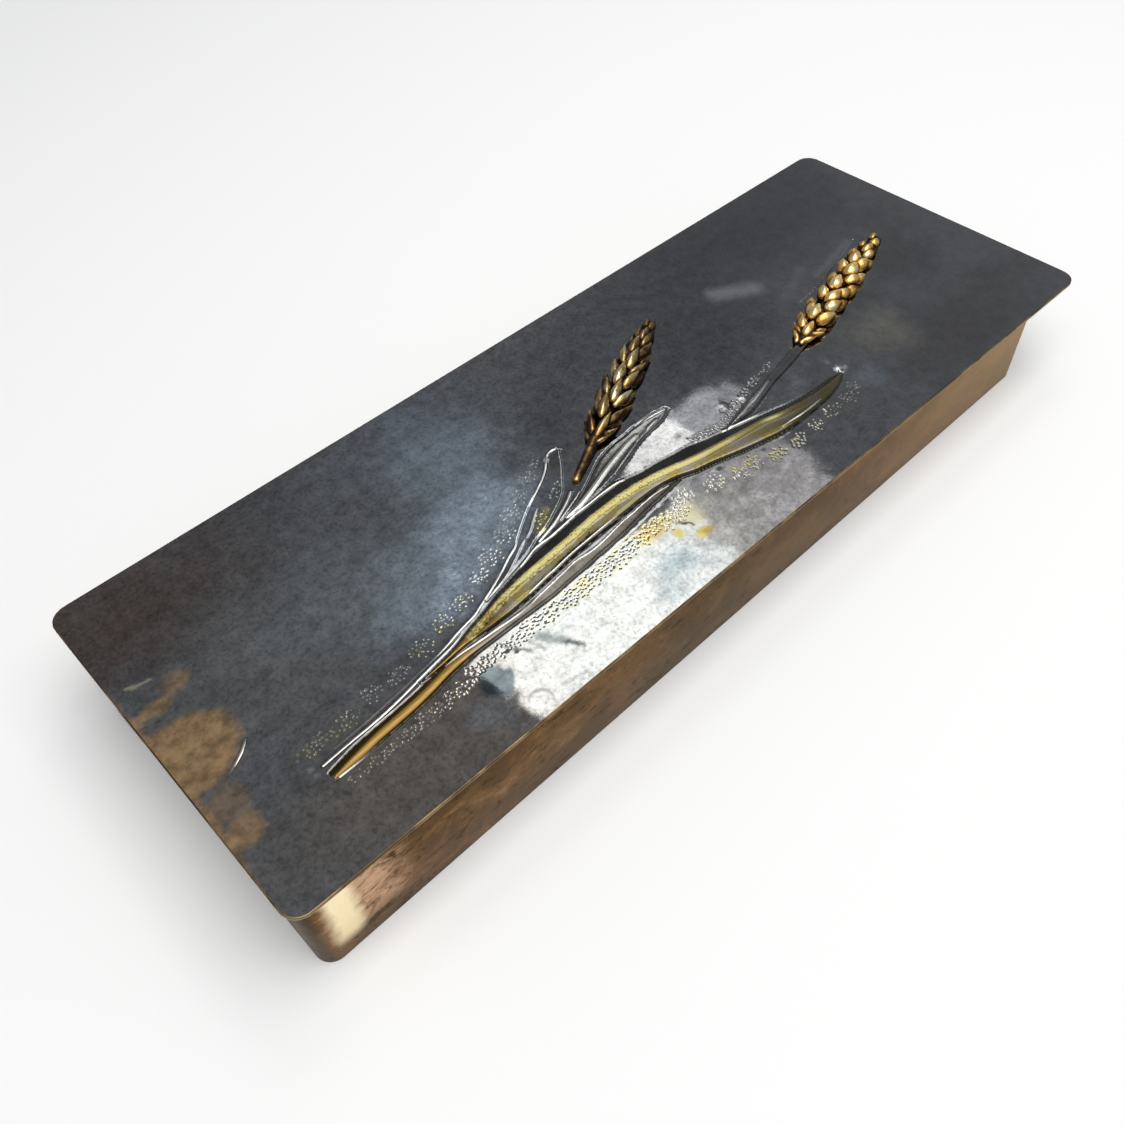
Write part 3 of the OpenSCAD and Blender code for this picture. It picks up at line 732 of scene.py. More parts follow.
class Finish:
    """A material made of nodes, with one Principled surface."""

    # How high a height signal of 1 stands
    RELIEF = 0.1 * MM

    def __init__(self, name):
        self.material = bpy.data.materials.new(name)
        self.material.use_nodes = True
        self.tree = self.material.node_tree
        self.tree.nodes.clear()
        self.surface = self.tree.nodes.new("ShaderNodeBsdfPrincipled")
        out = self.tree.nodes.new("ShaderNodeOutputMaterial")
        self.tree.links.new(self.surface.outputs["BSDF"], out.inputs["Surface"])

    def add(self, kind, settings=None, values=None, out=0):
        """Adds a node with its settings, then the values or links of its sockets."""
        node = self.tree.nodes.new(kind)
        for key, value in (settings or {}).items():
            if key == "stops":
                ramp = node.color_ramp
                while len(ramp.elements) < len(value):
                    ramp.elements.new(1.0)
                for element, (place, colour) in zip(ramp.elements, value):
                    element.position, element.color = place, (*colour, 1.0)
            else:
                setattr(node, key, value)
        for key, value in (values or {}).items():
            self.feed(node.inputs[key], value)
        return Signal(self, node.outputs[out])

    def feed(self, socket, value):
        """Links a signal to a socket, or sets the socket's own value."""
        if isinstance(value, Signal):
            self.tree.links.new(value.socket, socket)
        elif hasattr(value, "__len__") and len(value) == 3 and len(socket.default_value) == 4:
            socket.default_value = (*value, 1.0)
        else:
            socket.default_value = value

    def shade(self, **sockets):
        """Feeds the surface's sockets, named with _ for a space."""
        for name, value in sockets.items():
            self.feed(self.surface.inputs[name.replace("_", " ")], value)
        return self.material

    def place(self, scale=(1, 1, 1), turn=0.0):
        """Object coordinates in millimetres, stretched and turned about Z."""
        here = self.add("ShaderNodeTexCoord", out=3)
        return self.add("ShaderNodeMapping", {"vector_type": "POINT"}, {
            "Vector": here, "Rotation": (0, 0, turn),
            "Scale": tuple(s / MM for s in scale)})

    def part(self, where, axis):
        """One part of a place: x, y or z."""
        return self.add("ShaderNodeSeparateXYZ", None, {0: where}, out="xyz".index(axis))

    def noise(self, where, scale, detail=4.0, rough=0.55, warp=0.0):
        """Soft noise from 0 to 1 whose features are about 1 / scale millimetres."""
        return self.add("ShaderNodeTexNoise", {"noise_dimensions": "3D"}, {
            "Vector": where, "Scale": scale, "Detail": detail, "Roughness": rough,
            "Distortion": warp})

    def vector(self, operation, *terms, out=0, **named):
        """Adds a Vector Math node that works on these terms."""
        return self.add("ShaderNodeVectorMath", {"operation": operation},
                        {**dict(enumerate(terms)), **named}, out)

    def warped(self, where, scale, reach):
        """Places moved about by noise, for ragged borders."""
        cloud = self.add("ShaderNodeTexNoise", {"noise_dimensions": "3D"},
                         {"Vector": where, "Scale": scale, "Detail": 3.0}, out=1)
        centred = self.vector("SUBTRACT", cloud, (0.5, 0.5, 0.5))
        return self.vector("ADD", where, self.vector("SCALE", centred, Scale=reach))

    def mix(self, share, a, b, blend="MIX"):
        """Mixes colour b over colour a."""
        return self.add("ShaderNodeMix", {"data_type": "RGBA", "blend_type": blend},
                        {0: share, 6: a, 7: b}, out=2)

    def coats(self, base, *coats):
        """Lays coats over a base colour, each with the share it covers and its colour."""
        for share, colour in coats:
            base = self.mix(share, base, colour)
        return base

    def grey(self, value):
        """A grey of this brightness."""
        return self.add("ShaderNodeCombineColor", None, {0: value, 1: value, 2: value})

    def mask(self, name):
        """A mask that the mesh carries at its points."""
        return self.add("ShaderNodeAttribute", {"attribute_name": name}, out=2)

    def spot(self, where, middle, reach, soft):
        """1 in the middle of an oval patch seen from above, falling to 0 at its reach."""
        off = self.vector("SUBTRACT", self.vector("MULTIPLY", where, (1, 1, 0)), (*middle, 0))
        far = self.vector("LENGTH", self.vector("DIVIDE", off, (*reach, 1)), out=1)
        return 1 - far.rise(1 - soft, 1.0)

    def spots(self, where, patches):
        """The sum of some oval patches, each with its middle, reach, softness and strength."""
        first, *rest = [self.spot(where, middle, reach, soft) * strength
                        for middle, reach, soft, strength in patches]
        return sum(rest, start=first)

    def stroke(self, where, start, end, reach):
        """1 along a line seen from above, falling to 0 at its reach."""
        run = (end[0] - start[0], end[1] - start[1], 0)
        off = self.vector("SUBTRACT", self.vector("MULTIPLY", where, (1, 1, 0)), (*start, 0))
        along = self.vector("DOT_PRODUCT", off, run, out=1)
        share = (along * (1 / (run[0] ** 2 + run[1] ** 2))).clamp()
        away = self.vector("SUBTRACT", off, self.vector("SCALE", run, Scale=share))
        return 1 - self.vector("LENGTH", away, out=1).rise(0.0, reach)

    def relief(self, height, strength):
        """Turns a height signal into a normal for the surface."""
        return self.add("ShaderNodeBump", None,
                        {"Strength": strength, "Distance": self.RELIEF, "Height": height})


def tint(colour, factor):
    """A colour made lighter or darker, worked out here and not in nodes."""
    return tuple(min(c * factor, 1.0) for c in colour)


# Finishes

# Tones in the tarnish, with a pale tone that paints the mirrored window's sheen below the long leaf and
# darker tones that paint the shade of the dents at (5, -38) and (-15.5, -38.8): middle, reach, softness,
# strength and colour
TARNISH_AND_SHADING_TONES = (
    ((-122, 38), (46, 30), 0.9, 0.95, (0.165, 0.125, 0.112)),
    ((-98, 4), (40, 24), 0.9, 0.8, (0.25, 0.247, 0.235)),
    ((-117, 3), (8, 9), 0.9, 0.5, (0.15, 0.16, 0.165)),
    ((-94, -38), (52, 21), 0.7, 0.95, (0.275, 0.245, 0.222)),
    ((-79, -40), (6, 7), 0.9, 0.6, (0.42, 0.43, 0.45)),
    ((-42, 36), (40, 22), 0.9, 0.85, (0.26, 0.285, 0.33)),
    ((15, 32), (42, 20), 0.9, 0.7, (0.175, 0.182, 0.195)),
    ((42, 8), (36, 20), 0.9, 0.8, (0.145, 0.147, 0.157)),
    ((78, 32), (74, 34), 0.9, 0.8, (0.15, 0.15, 0.162)),
    ((92, -38), (52, 18), 0.8, 0.6, (0.175, 0.165, 0.17)),
    ((76, -22), (15, 14), 0.9, 0.7, (0.38, 0.36, 0.31)),
    ((42, -20), (9, 4), 0.9, 0.7, (0.36, 0.37, 0.38)),
    ((58, -31), (7, 7), 0.9, 0.8, (0.34, 0.39, 0.43)),
    ((-34, -38), (52, 18), 0.4, 0.9, (0.285, 0.29, 0.28)),
    ((-27, -41.5), (11, 7.5), 0.8, 0.95, (0.15, 0.175, 0.185)),
    ((-51, -33.8), (8, 3.4), 0.9, 0.6, (0.17, 0.2, 0.21)),
    ((5, -38), (6, 6), 0.9, 0.5, (0.17, 0.16, 0.165)),
    ((-15.5, -38.8), (3, 3), 0.9, 0.5, (0.15, 0.16, 0.17)),
)
# Where the sheet is knocked about below the long leaf, with blots painted as the dents' shade: middle
# and reach
DENTED_AREA = ((5, -38), (22, 14))
# Haze on the silvering, partly a milky film and partly painted glare: middle, reach, softness and
# strength
HAZE_AND_GLARE_CLOUDS = (
    ((-50, 3), (30, 19), 0.95, 1.0), ((-40, 22), (26, 26), 0.95, 0.6),
    ((-68, -9), (26, 12), 0.95, 0.7), ((-82, 6), (34, 22), 0.95, 0.25),
)
# The sheet rubbed to the brass at the left end: middle, reach, softness and strength
WORN_PATCHES = (
    ((-129.8, -3.2), (12.8, 10.8), 0.3, 1.0), ((-130, -18), (5.5, 5.5), 0.5, 0.42),
    ((-130.5, -25.5), (5, 4.5), 0.5, 0.8), ((-122.5, 13.5), (5, 3.8), 0.7, 0.65),
    ((-130, 10.8), (7, 2.4), 0.6, 0.75), ((-134.6, -8), (1.9, 34), 0.6, 0.75),
)
# Gold stains below the long leaf: middle, reach and colour
GOLD_STAINS = (
    ((-21.2, -28.9), (6.2, 4.2), (0.27, 0.19, 0.065)), ((-17.4, -33.6), (2.0, 2.0), (0.27, 0.23, 0.06)),
    ((-12.8, -37.4), (3.9, 1.9), (0.31, 0.24, 0.05)), ((-11.4, -31.5), (5.4, 5.4), (0.27, 0.25, 0.17)),
)
# Strokes on the sheet: start, end, reach, strength and colour; the first five are dark fingers in the
# mirrored window, painted shade where dents turn the reflection away
STROKES = (
    # Painted shade in the mirrored window
    ((-68.0, -27.6), (-66.6, -31.0), 0.8, 0.8, (0.06, 0.064, 0.066)),
    ((-66.6, -31.0), (-64.2, -33.3), 0.9, 0.85, (0.05, 0.054, 0.056)),
    ((-62.8, -31.6), (-62.0, -35.2), 0.9, 0.5, (0.07, 0.08, 0.08)),
    ((-60.4, -32.0), (-57.0, -37.2), 2.0, 0.8, (0.075, 0.09, 0.092)),
    ((-57.0, -37.4), (-55.3, -40.2), 1.2, 0.9, (0.035, 0.04, 0.042)),
    ((-15.4, -31.0), (-13.4, -34.4), 0.7, 0.9, (0.03, 0.022, 0.016)),
    ((-16.8, -28.0), (-15.2, -31.0), 0.5, 0.6, (0.06, 0.045, 0.03)),
    ((-40.0, -10.0), (-34.0, -6.2), 1.7, 0.9, (0.7, 0.62, 0.34)),
    ((-131.0, 19.3), (-126.4, 18.2), 0.8, 0.7, (0.8, 0.72, 0.5)),
    ((57.0, 19.5), (67.0, 13.5), 5.0, 1.0, (0.44, 0.44, 0.46)),
    ((-65.4, -44.4), (-60.0, -45.4), 0.9, 0.6, (0.13, 0.13, 0.125)),
    ((84.0, 4.4), (104.0, 8.2), 2.0, 0.6, (0.36, 0.37, 0.39)),
    ((70.0, 4.5), (84.0, 9.5), 2.6, 0.4, (0.34, 0.34, 0.35)),
    ((-43.6, -20.7), (-42.3, -20.5), 0.45, 0.9, (0.02, 0.018, 0.015)),
    ((-40.9, -20.5), (-40.2, -20.4), 0.4, 0.9, (0.02, 0.018, 0.015)),
    ((-38.6, -20.3), (-37.9, -20.2), 0.4, 0.9, (0.02, 0.018, 0.015)),
    ((-36.6, -20.1), (-35.9, -20.0), 0.4, 0.9, (0.02, 0.018, 0.015)),
    ((-34.2, -19.9), (-33.0, -19.7), 0.4, 0.9, (0.02, 0.018, 0.015)),
)
# The painted shaded rim of a dent in the mirrored window: middle, radius, and where its clear disc has
# moved to
DENT_RING_SHADE = ((-71.1, -43.9), 3.0, (-0.45, -0.5))
# The dark bay at the left of the mirrored window, a dark reflection painted as colour: middle and reach
BAY_SHADE = ((-74.6, -34.2), (4.6, 4.9))
# Where the amber gold at the left fades into the paler gold
AMBER_END = (-66, -50)
# Where a burnished line fades, and where the dark gutter beside it starts and ends, in its half widths
LINE_EDGE, GUTTER_START, GUTTER_END = (0.55, 1.15), (0.8, 1.3), (1.6, 2.6)
# How far the dark outline of a form reaches, in drawn millimetres
OUTLINE_EDGE = (0.12, 0.45)
# How far from its middle a punch mark's pit, painted highlight on its lip and gold stain reach
PIT_EDGE, LIP_HIGHLIGHT_EDGE, STAIN_EDGE = (0.06, 0.2), (0.26, 0.46), (0.6, 1.2)

# Where the walls' patina changes, where they grow paler towards the right end, and where painted shade
# darkens the left end: the start and the end of each fade, in millimetres along the box
ROSY_END, SOOTY_END = (-75, 10), (-60, 40)
DARK_START, DARK_END = (-70, -40), (0, 50)
PALER, LEFT_SHADE_FADE = (20, 112), (-132.6, -130.4)
# The flushed and the rubbed patch of the near corner, rubbed brass with a painted highlight: middle and
# reach, then its fade up the wall
FLUSH_SHEEN, FLUSH_SHEEN_HEIGHT = ((-120, -46.6), (12, 30)), (3, 12)
RUBBED_SHEEN, RUBBED_SHEEN_HEIGHT = ((-126.0, -46.6), (5.6, 30)), (2.5, 9)
# Painted shade: the darker line where the wall meets the table
FOOT_SHADE_FADE = (0.2, 1.6)

# Colours of the lid's face: the blots painted as the dents' shade, the worn brass, the bay painted as a
# dark reflection, the dent's rim painted as shade, and the leaves' flanks
DENT_MOTTLE_SHADE = (0.1, 0.095, 0.1)
WORN_DARK, WORN_PALE = (0.4, 0.25, 0.125), (0.8, 0.51, 0.27)
BAY_SHADE_DARK, BAY_SHADE_PALE = (0.038, 0.05, 0.056), (0.085, 0.108, 0.118)
DENT_RIM_SHADE = (0.1, 0.1, 0.095)
FLANK_GREY = (0.19, 0.17, 0.145)
# Colours of the chasing: the black in the grooves, also laid as painted shade on the leaves' flanks and
# the stalk, and a punch mark's stain, the painted highlight on its lip, and its pit
SHADE_AND_GROOVE_DARK, SHADE_AND_GROOVE_PALE = (0.02, 0.016, 0.013), (0.06, 0.05, 0.035)
STAIN_GOLD = (0.26, 0.235, 0.095)
LIP_HIGHLIGHT_SILVER, LIP_HIGHLIGHT_GOLD = (0.8, 0.79, 0.74), (0.8, 0.72, 0.4)
PIT_BLACK = (0.045, 0.04, 0.035)
# Colours of the sheet's cut edge, and of the hinge where it is dull
EDGE_DARK, EDGE_WORN = (0.1, 0.065, 0.03), (0.26, 0.18, 0.085)
HINGE_DULL = (0.16, 0.09, 0.04)
# Colours of a casting's lower, upper and rubbed grains: as cast, where the upper ones take a share
# of the brass, and gilded
CAST_LOWER, CAST_UPPER_SHARE, CAST_RUBBED = (0.26, 0.15, 0.055), 0.6, (0.92, 0.84, 0.6)
GILDED_TONES = ((0.55, 0.28, 0.06), (1.0, 0.62, 0.17), (1.0, 0.84, 0.48))
# Colours of the patina, of the paler right end, of the painted highlight at the near corner and of the
# painted shade on the left end and the foot, and the tint that its shallow reflections take
PATINA_PALE, PATINA_ROSY = (0.2, 0.1, 0.036), (0.36, 0.205, 0.12)
PATINA_DARK, PATINA_SOOT = (0.05, 0.035, 0.014), (0.05, 0.026, 0.013)
PATINA_SPECK, PATINA_OLIVE = (0.05, 0.03, 0.017), (0.14, 0.1, 0.036)
RIGHT_END_PALER, FLUSH_SHEEN_COLOUR = (0.31, 0.19, 0.08), (0.66, 0.42, 0.27)
RUBBED_SHEEN_COLOUR = (0.98, 0.84, 0.55)
LEFT_SHADE_COLOUR, FOOT_SHADE_COLOUR = (0.04, 0.028, 0.018), (0.09, 0.055, 0.03)
PATINA_TINT = (0.97, 0.92, 0.84)


def tarnish_colour(f, here, colours):
    """The silvering's tone: clouds, haze and a fine mottle, with painted glare in the haze, a painted
    sheen under the mirrored window and the dents' painted shade.
    """
    ragged = f.warped(here, 0.07, 22.0)
    mottle = f.noise(here, 0.26, 6.0, 0.64)
    streaks = f.noise(f.place((0.8, 3.4, 1), math.radians(-28)), 0.3, 4.0, 0.6)
    cloud = f.noise(here, 0.024, 5.0, 0.6, 0.4)
    base = f.mix(cloud.rise(0.32, 0.68), tint(colours.tarnish, 0.8), tint(colours.tarnish, 1.2))
    # Some tones paint the window's sheen below the long leaf and the dents' shade
    for middle, reach, soft, strength, colour in TARNISH_AND_SHADING_TONES:
        base = f.mix(f.spot(ragged, middle, reach, soft) * strength, base, colour)
    # Pale haze, partly painted glare from fine scratches
    haze = (f.spots(ragged, HAZE_AND_GLARE_CLOUDS) * (0.3 + 0.5 * streaks + 0.9 * cloud)).clamp()
    base = f.mix(haze * 0.9, base, colours.haze)
    grain = f.noise(here, 1.1, 3.0, 0.7)
    crisp = 1 - 0.6 * f.part(here, "x").rise(0, 100)
    vary = (1 + 1.4 * (mottle - 0.5) * crisp) * (1 + 1.7 * (grain - 0.5) * crisp)
    base = f.mix(1.0, base, f.grey(vary), "MULTIPLY")
    # Painted shade of the dents, as grey blots
    dent_mottle = f.noise(here, 0.3, 5.0, 0.7) * f.spot(ragged, *DENTED_AREA, 0.4)
    scuff = f.noise(f.place((0.5, 4.0, 1), math.radians(35)), 0.5, 4.0, 0.65).rise(0.62, 0.74)
    base = f.coats(base, (dent_mottle.rise(0.36, 0.62) * 0.5, DENT_MOTTLE_SHADE), (scuff * 0.1, colours.haze),
                   (grain.rise(0.52, 0.7) * 0.24, tint(colours.tarnish, 0.42)))
    return base, haze, mottle, streaks


def stains_and_shade_colour(f, here, base, mottle):
    """The stains laid over the tarnish, with the painted dark bay and the dent's painted shaded rim, and
    where it is worn off.
    """
    worn = f.spots(f.warped(here, 0.3, 4.0), WORN_PATCHES).clamp()
    fine = f.warped(here, 0.45, 2.4)
    # Painted shade: a crescent along the dent's rim
    middle, radius, moved = DENT_RING_SHADE
    clear = (middle[0] + moved[0], middle[1] + moved[1])
    rim = f.spot(here, middle, (radius, radius), 0.15) - f.spot(here, clear, (radius, radius), 0.3)
    base = f.coats(
        base,
        (worn * (0.7 + 0.5 * mottle), f.mix(mottle.rise(0.3, 0.66), WORN_DARK, WORN_PALE)),
        # Painted dark reflection: the bay
        (f.spot(fine, *BAY_SHADE, 0.35) * 0.95, f.mix(mottle.rise(0.3, 0.7), BAY_SHADE_DARK, BAY_SHADE_PALE)),
        *((f.spot(fine, middle, reach, 0.7) * 0.9, colour) for middle, reach, colour in GOLD_STAINS),
        ((rim * (0.2 + 1.2 * mottle)).clamp() * 0.8, DENT_RIM_SHADE))
    return base, worn


def gilded_colour(f, here, base, mottle, colours):
    """The burnished and gilded leaves laid over the sheet, with their painted highlights: pale gilt and
    silver along the leaf's crest and the stalk.
    """
    bright = f.mask("bright")
    flank = f.mix(mottle.rise(0.4, 0.62), colours.olive, FLANK_GREY)
    amber = f.mix((bright * (0.5 + 0.8 * mottle)).clamp(), tint(colours.amber, 0.27), colours.amber)
    gold = f.mix(bright, flank, colours.gilt)
    gold = f.mix(1 - (f.part(here, "x") + 10 * mottle).rise(*AMBER_END), gold, amber)
    return f.coats(base, ((bright * (0.6 + 0.8 * mottle)).clamp(), colours.silver),
                   (f.mask("gilt"), gold))


def silvered_finish(colours):
    """Tarnished silvering over brass, rubbed through on the worked forms, with painted highlights and
    painted shade on the forms and painted reflection where the lid mirrors the window.
    """
    f = Finish("silvered_brass_finish")
    here = f.place()
    base, haze, mottle, streaks = tarnish_colour(f, here, colours)
    base, worn = stains_and_shade_colour(f, here, base, mottle)
    base = gilded_colour(f, here, base, mottle, colours)
    tight = f.warped(here, 0.5, 2.2)
    patchy = 0.45 + 1.1 * f.noise(here, 0.8, 4.0, 0.7)
    for start, end, reach, strength, colour in STROKES:
        base = f.mix((f.stroke(tight, start, end, reach) * patchy * strength).clamp(), base, colour)
    gilt, dark, ridge, glow, mark = (f.mask(name) for name in ("gilt", "dark", "ridge", "shine", "mark"))
    # Silver burnished lines, brighter where their highlight is painted
    line = (1 - ridge.rise(*LINE_EDGE)) * (glow * (0.6 + 0.8 * mottle)).clamp()
    gutter = ridge.rise(*GUTTER_START) * (1 - ridge.rise(*GUTTER_END)) * glow
    outline = 1 - f.mask("edge").rise(*OUTLINE_EDGE)
    # Painted shade from the dark mask, with the black of the outlines and the gutters beside the lines
    darkening = dark.most(outline * 0.85).most(gutter * 0.8) * (0.72 + 0.4 * mottle)
    pit = 1 - mark.rise(*PIT_EDGE)
    stain = f.mask("mark_gilt") * (1 - mark.rise(*STAIN_EDGE)) * mottle.rise(0.42, 0.6)
    # Painted highlight on each punch mark's lip
    lip_highlight = (1 - mark.rise(*LIP_HIGHLIGHT_EDGE)) * patchy * (1 - gilt) * 0.34
    base = f.coats(
        base,
        (darkening.clamp() * 0.94, f.mix(mottle.rise(0.4, 0.65), SHADE_AND_GROOVE_DARK, SHADE_AND_GROOVE_PALE)),
        (line * 0.88, colours.silver),
        (stain * 0.75, STAIN_GOLD),
        (lip_highlight.clamp(), f.mix(stain, LIP_HIGHLIGHT_SILVER, LIP_HIGHLIGHT_GOLD)),
        (pit * 0.65, PIT_BLACK))
    shine = (0.025 + 0.04 * mottle + haze * 0.12 + dark * 0.2 + gilt * 0.12 + worn * 0.12
             + line * 0.2 + outline * 0.15)
    grit = f.noise(here, 1.5, 3.0, 0.65) * 0.5 + streaks * 0.25 + mottle
    chased = (1 - ridge.rise(0.0, 1.3)) * glow * 6 - pit * 3
    return f.shade(Base_Color=base, Metallic=1.0, Roughness=shine.clamp(),
                   Normal=f.relief(grit * 0.2 + chased, 0.16))


def edge_finish(colours):
    """The cut edge of the sheet, where the brass shows."""
    f = Finish("cut_brass_edge_finish")
    here = f.place()
    wear = f.noise(here, 0.12, 4.0, 0.6)
    nicks = f.noise(here, 1.1, 3.0, 0.6)
    base = f.mix(wear.rise(0.4, 0.62), EDGE_DARK, EDGE_WORN)
    base = f.mix(nicks.rise(0.6, 0.75) * 0.5, base, colours.bronze)
    return f.shade(Base_Color=base, Metallic=1.0, Roughness=0.3 + 0.15 * nicks,
                   Normal=f.relief(nicks, 0.2))


def cast_finish(name, colours, gilding):
    """Cast brass, dark in its hollows, and gilded a little or much on its grains."""
    f = Finish(name)
    here = f.place()
    cloud = f.noise(here, 0.24, 3.0, 0.6)
    pits = f.noise(here, 2.2, 3.0, 0.65)
    rub = (f.mask("rub") + (cloud - 0.5) * 1.3 - 0.1 + 0.18 * gilding).clamp()
    as_cast = (CAST_LOWER, tint(colours.brass, CAST_UPPER_SHARE), CAST_RUBBED)
    tones = [tuple(a + (b - a) * gilding for a, b in zip(*pair)) for pair in zip(as_cast, GILDED_TONES)]
    base = f.add("ShaderNodeValToRGB", {"stops": (
        (0.0, tint(colours.bronze, 0.4)), (0.36, tint(colours.bronze, 1.5)),
        (0.56, tones[0]), (0.78, tones[1]), (1.0, tones[2]))}, {"Fac": rub})
    shine = 0.3 + 0.16 * gilding - rub * 0.1 + pits * 0.08
    return f.shade(Base_Color=base, Metallic=1.0, Roughness=shine, Normal=f.relief(pits, 0.16))


def patina_finish(colours):
    """Handled brass with a brown patina, bright at the near corner where it is rubbed and a highlight is
    painted, with painted shade on its left end and along its foot.
    """
    f = Finish("patinated_brass_finish")
    here = f.place()
    x, z = f.part(here, "x"), f.part(here, "z")
    smear = f.noise(f.place((0.75, 1, 1.3)), 0.075, 5.0, 0.62, 0.6)
    streak = f.noise(f.warped(f.place((0.8, 1, 1.7)), 0.2, 8.0), 0.26, 6.0, 0.7, 0.8)
    fine = f.noise(here, 1.3, 3.0, 0.65)
    rosy = streak.rise(0.53, 0.66) * smear.rise(0.42, 0.58) * (1 - x.rise(*ROSY_END))
    darkening = (1 - streak.rise(0.36, 0.47)) * (1 - 0.6 * x.rise(*SOOTY_END)) * (1 - smear.rise(0.5, 0.66))
    speck = f.noise(here, 0.7, 4.0, 0.7).rise(0.56, 0.66) * smear.rise(0.5, 0.6)
    patch = f.warped(here, 0.35, 2.4)
    # Painted highlight at the near corner, over rubbed brass
    flush_sheen = f.spot(patch, *FLUSH_SHEEN, 0.8) * z.rise(*FLUSH_SHEEN_HEIGHT) * streak.rise(0.36, 0.6)
    rubbed = f.spot(patch, *RUBBED_SHEEN, 0.85) * z.rise(*RUBBED_SHEEN_HEIGHT)
    rubbed = (rubbed * (1.0 + 0.5 * fine) - 0.3 * streak).clamp()
    base = f.coats(
        f.mix(smear.rise(0.36, 0.64), tint(colours.patina, 0.72), PATINA_PALE),
        (rosy * 0.9, PATINA_ROSY),
        (x.rise(*DARK_START) * (1 - x.rise(*DARK_END)) * 0.4, PATINA_DARK),
        (darkening * 0.85, PATINA_SOOT),
        (speck * 0.6, PATINA_SPECK),
        (f.noise(here, 0.16, 3.0).rise(0.55, 0.7) * 0.35, PATINA_OLIVE),
        # Paler towards the right end
        (x.rise(*PALER) * (0.45 + 0.5 * smear), RIGHT_END_PALER),
        (flush_sheen.clamp() * 0.85, FLUSH_SHEEN_COLOUR),
        (rubbed, RUBBED_SHEEN_COLOUR),
        # Painted shade on the left end
        ((1 - x.rise(*LEFT_SHADE_FADE)) * 0.85, LEFT_SHADE_COLOUR),
        # Painted shade along the foot
        ((1 - z.rise(*FOOT_SHADE_FADE)) * 0.55, FOOT_SHADE_COLOUR))
    shine = 0.34 + 0.14 * fine - rubbed * 0.12 + darkening * 0.12
    return f.shade(Base_Color=base, Metallic=1.0, Roughness=shine.clamp(),
                   Specular_Tint=PATINA_TINT, Normal=f.relief(fine * 0.4 + streak, 0.14))


def bare_finish(colours):
    """Plain brass of the hinge and the pins, dulled in its corners."""
    f = Finish("bare_brass_finish")
    here = f.place()
    cloud = f.noise(here, 0.2, 4.0, 0.6)
    fine = f.noise(f.place((0.2, 2.5, 2.5)), 1.2, 3.0, 0.6)
    base = f.mix(cloud.rise(0.36, 0.68), tint(colours.brass, 0.36), tint(colours.brass, 0.75))
    base = f.mix(fine.rise(0.58, 0.75) * 0.4, base, HINGE_DULL)
    return f.shade(Base_Color=base, Metallic=1.0, Roughness=0.3 + 0.18 * fine,
                   Normal=f.relief(fine, 0.12))


def wood_finish(name, colours, stretch):
    """Thin cedar board with its grain along the board."""
    f = Finish(name)
    ring = f.noise(f.warped(f.place(stretch), 0.03, 4.0), 0.4, 6.0, 0.68)
    pore = f.noise(f.place(tint(stretch, 0.6)), 3.4, 3.0, 0.6)
    base = f.mix(ring.rise(0.34, 0.66), tint(colours.wood, 0.6), tint(colours.wood, 1.15))
    base = f.mix(pore.rise(0.52, 0.66) * 0.6, base, tint(colours.wood, 0.4))
    return f.shade(Base_Color=base, Roughness=0.56 + 0.14 * ring, Specular_IOR_Level=0.35,
                   Normal=f.relief(ring * 0.4 - pore, 0.25))


# Pieces

# The ears' pins, and how far apart along the box the points of two pins are at least
PIN_COUNT = 4
PIN_SPREAD = 4 * MM
# Points of a CAD mesh this near are one, faces this flat are joined, and edges this sharp are eased
MERGED = 0.002 * MM
FLAT_ANGLE = math.radians(0.5)
SHARP_ANGLE = math.radians(28.0)


def settle(bm, name, body, finishes, stands_for, smooth_angle=35.0):
    """Turns a bmesh into a piece that rides on a body and stands for a CAD node."""
    mesh = bpy.data.meshes.new(name)
    bm.to_mesh(mesh)
    bm.free()
    for finish in finishes:
        mesh.materials.append(finish)
    mesh.shade_smooth()
    mesh.set_sharp_from_angle(angle=math.radians(smooth_angle))
    piece = bpy.data.objects.new(name, mesh)
    bpy.context.scene.collection.objects.link(piece)
    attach(piece, body)
    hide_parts(stands_for)
    return piece


def carry_mask(piece, name, values):
    """Writes a mask on a piece's points for its finish to read."""
    attribute = piece.data.attributes.new(name, "FLOAT", "POINT")
    attribute.data.foreach_set("value", np.asarray(values, np.float32))


def points_of(verts):
    """The places of some points as rows."""
    return np.array([v.co for v in verts], float).reshape(-1, 3)


def pin_places():
    """The middles of the ears' four pins from left to right, and their radius."""
    co = points_of(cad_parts["ear_pins"].data.vertices)
    shanks = co[co[:, 2] > PLATE_LOW.z + SHEET_THICKNESS / 2]
    shanks = shanks[np.argsort(shanks[:, 0])]
    groups = np.split(shanks, np.where(np.diff(shanks[:, 0]) > PIN_SPREAD)[0] + 1)
    if len(groups) != PIN_COUNT:
        raise RuntimeError(f"the ears should have {PIN_COUNT} pins, and the frame shows {len(groups)}")
    radius = max(np.ptp(group[:, 0]) for group in groups) / 2
    return [Vector((group.min(0) + group.max(0)) / 2).to_2d() for group in groups], radius


def eased_copy(node, ease):
    """A merged copy of a CAD node with its sharp edges eased."""
    bm = bmesh.new()
    bm.from_mesh(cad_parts[node].data)
    bmesh.ops.remove_doubles(bm, verts=bm.verts, dist=MERGED)
    bmesh.ops.dissolve_limit(bm, angle_limit=FLAT_ANGLE, verts=bm.verts, edges=bm.edges)
    sharp = [e for e in bm.edges if len(e.link_faces) == 2 and e.calc_face_angle(0.0) > SHARP_ANGLE]
    bmesh.ops.bevel(bm, geom=sharp, offset=ease, segments=2, profile=0.5, affect="EDGES",
                    material=-1, clamp_overlap=True)
    bmesh.ops.recalc_face_normals(bm, faces=bm.faces)
    return bm


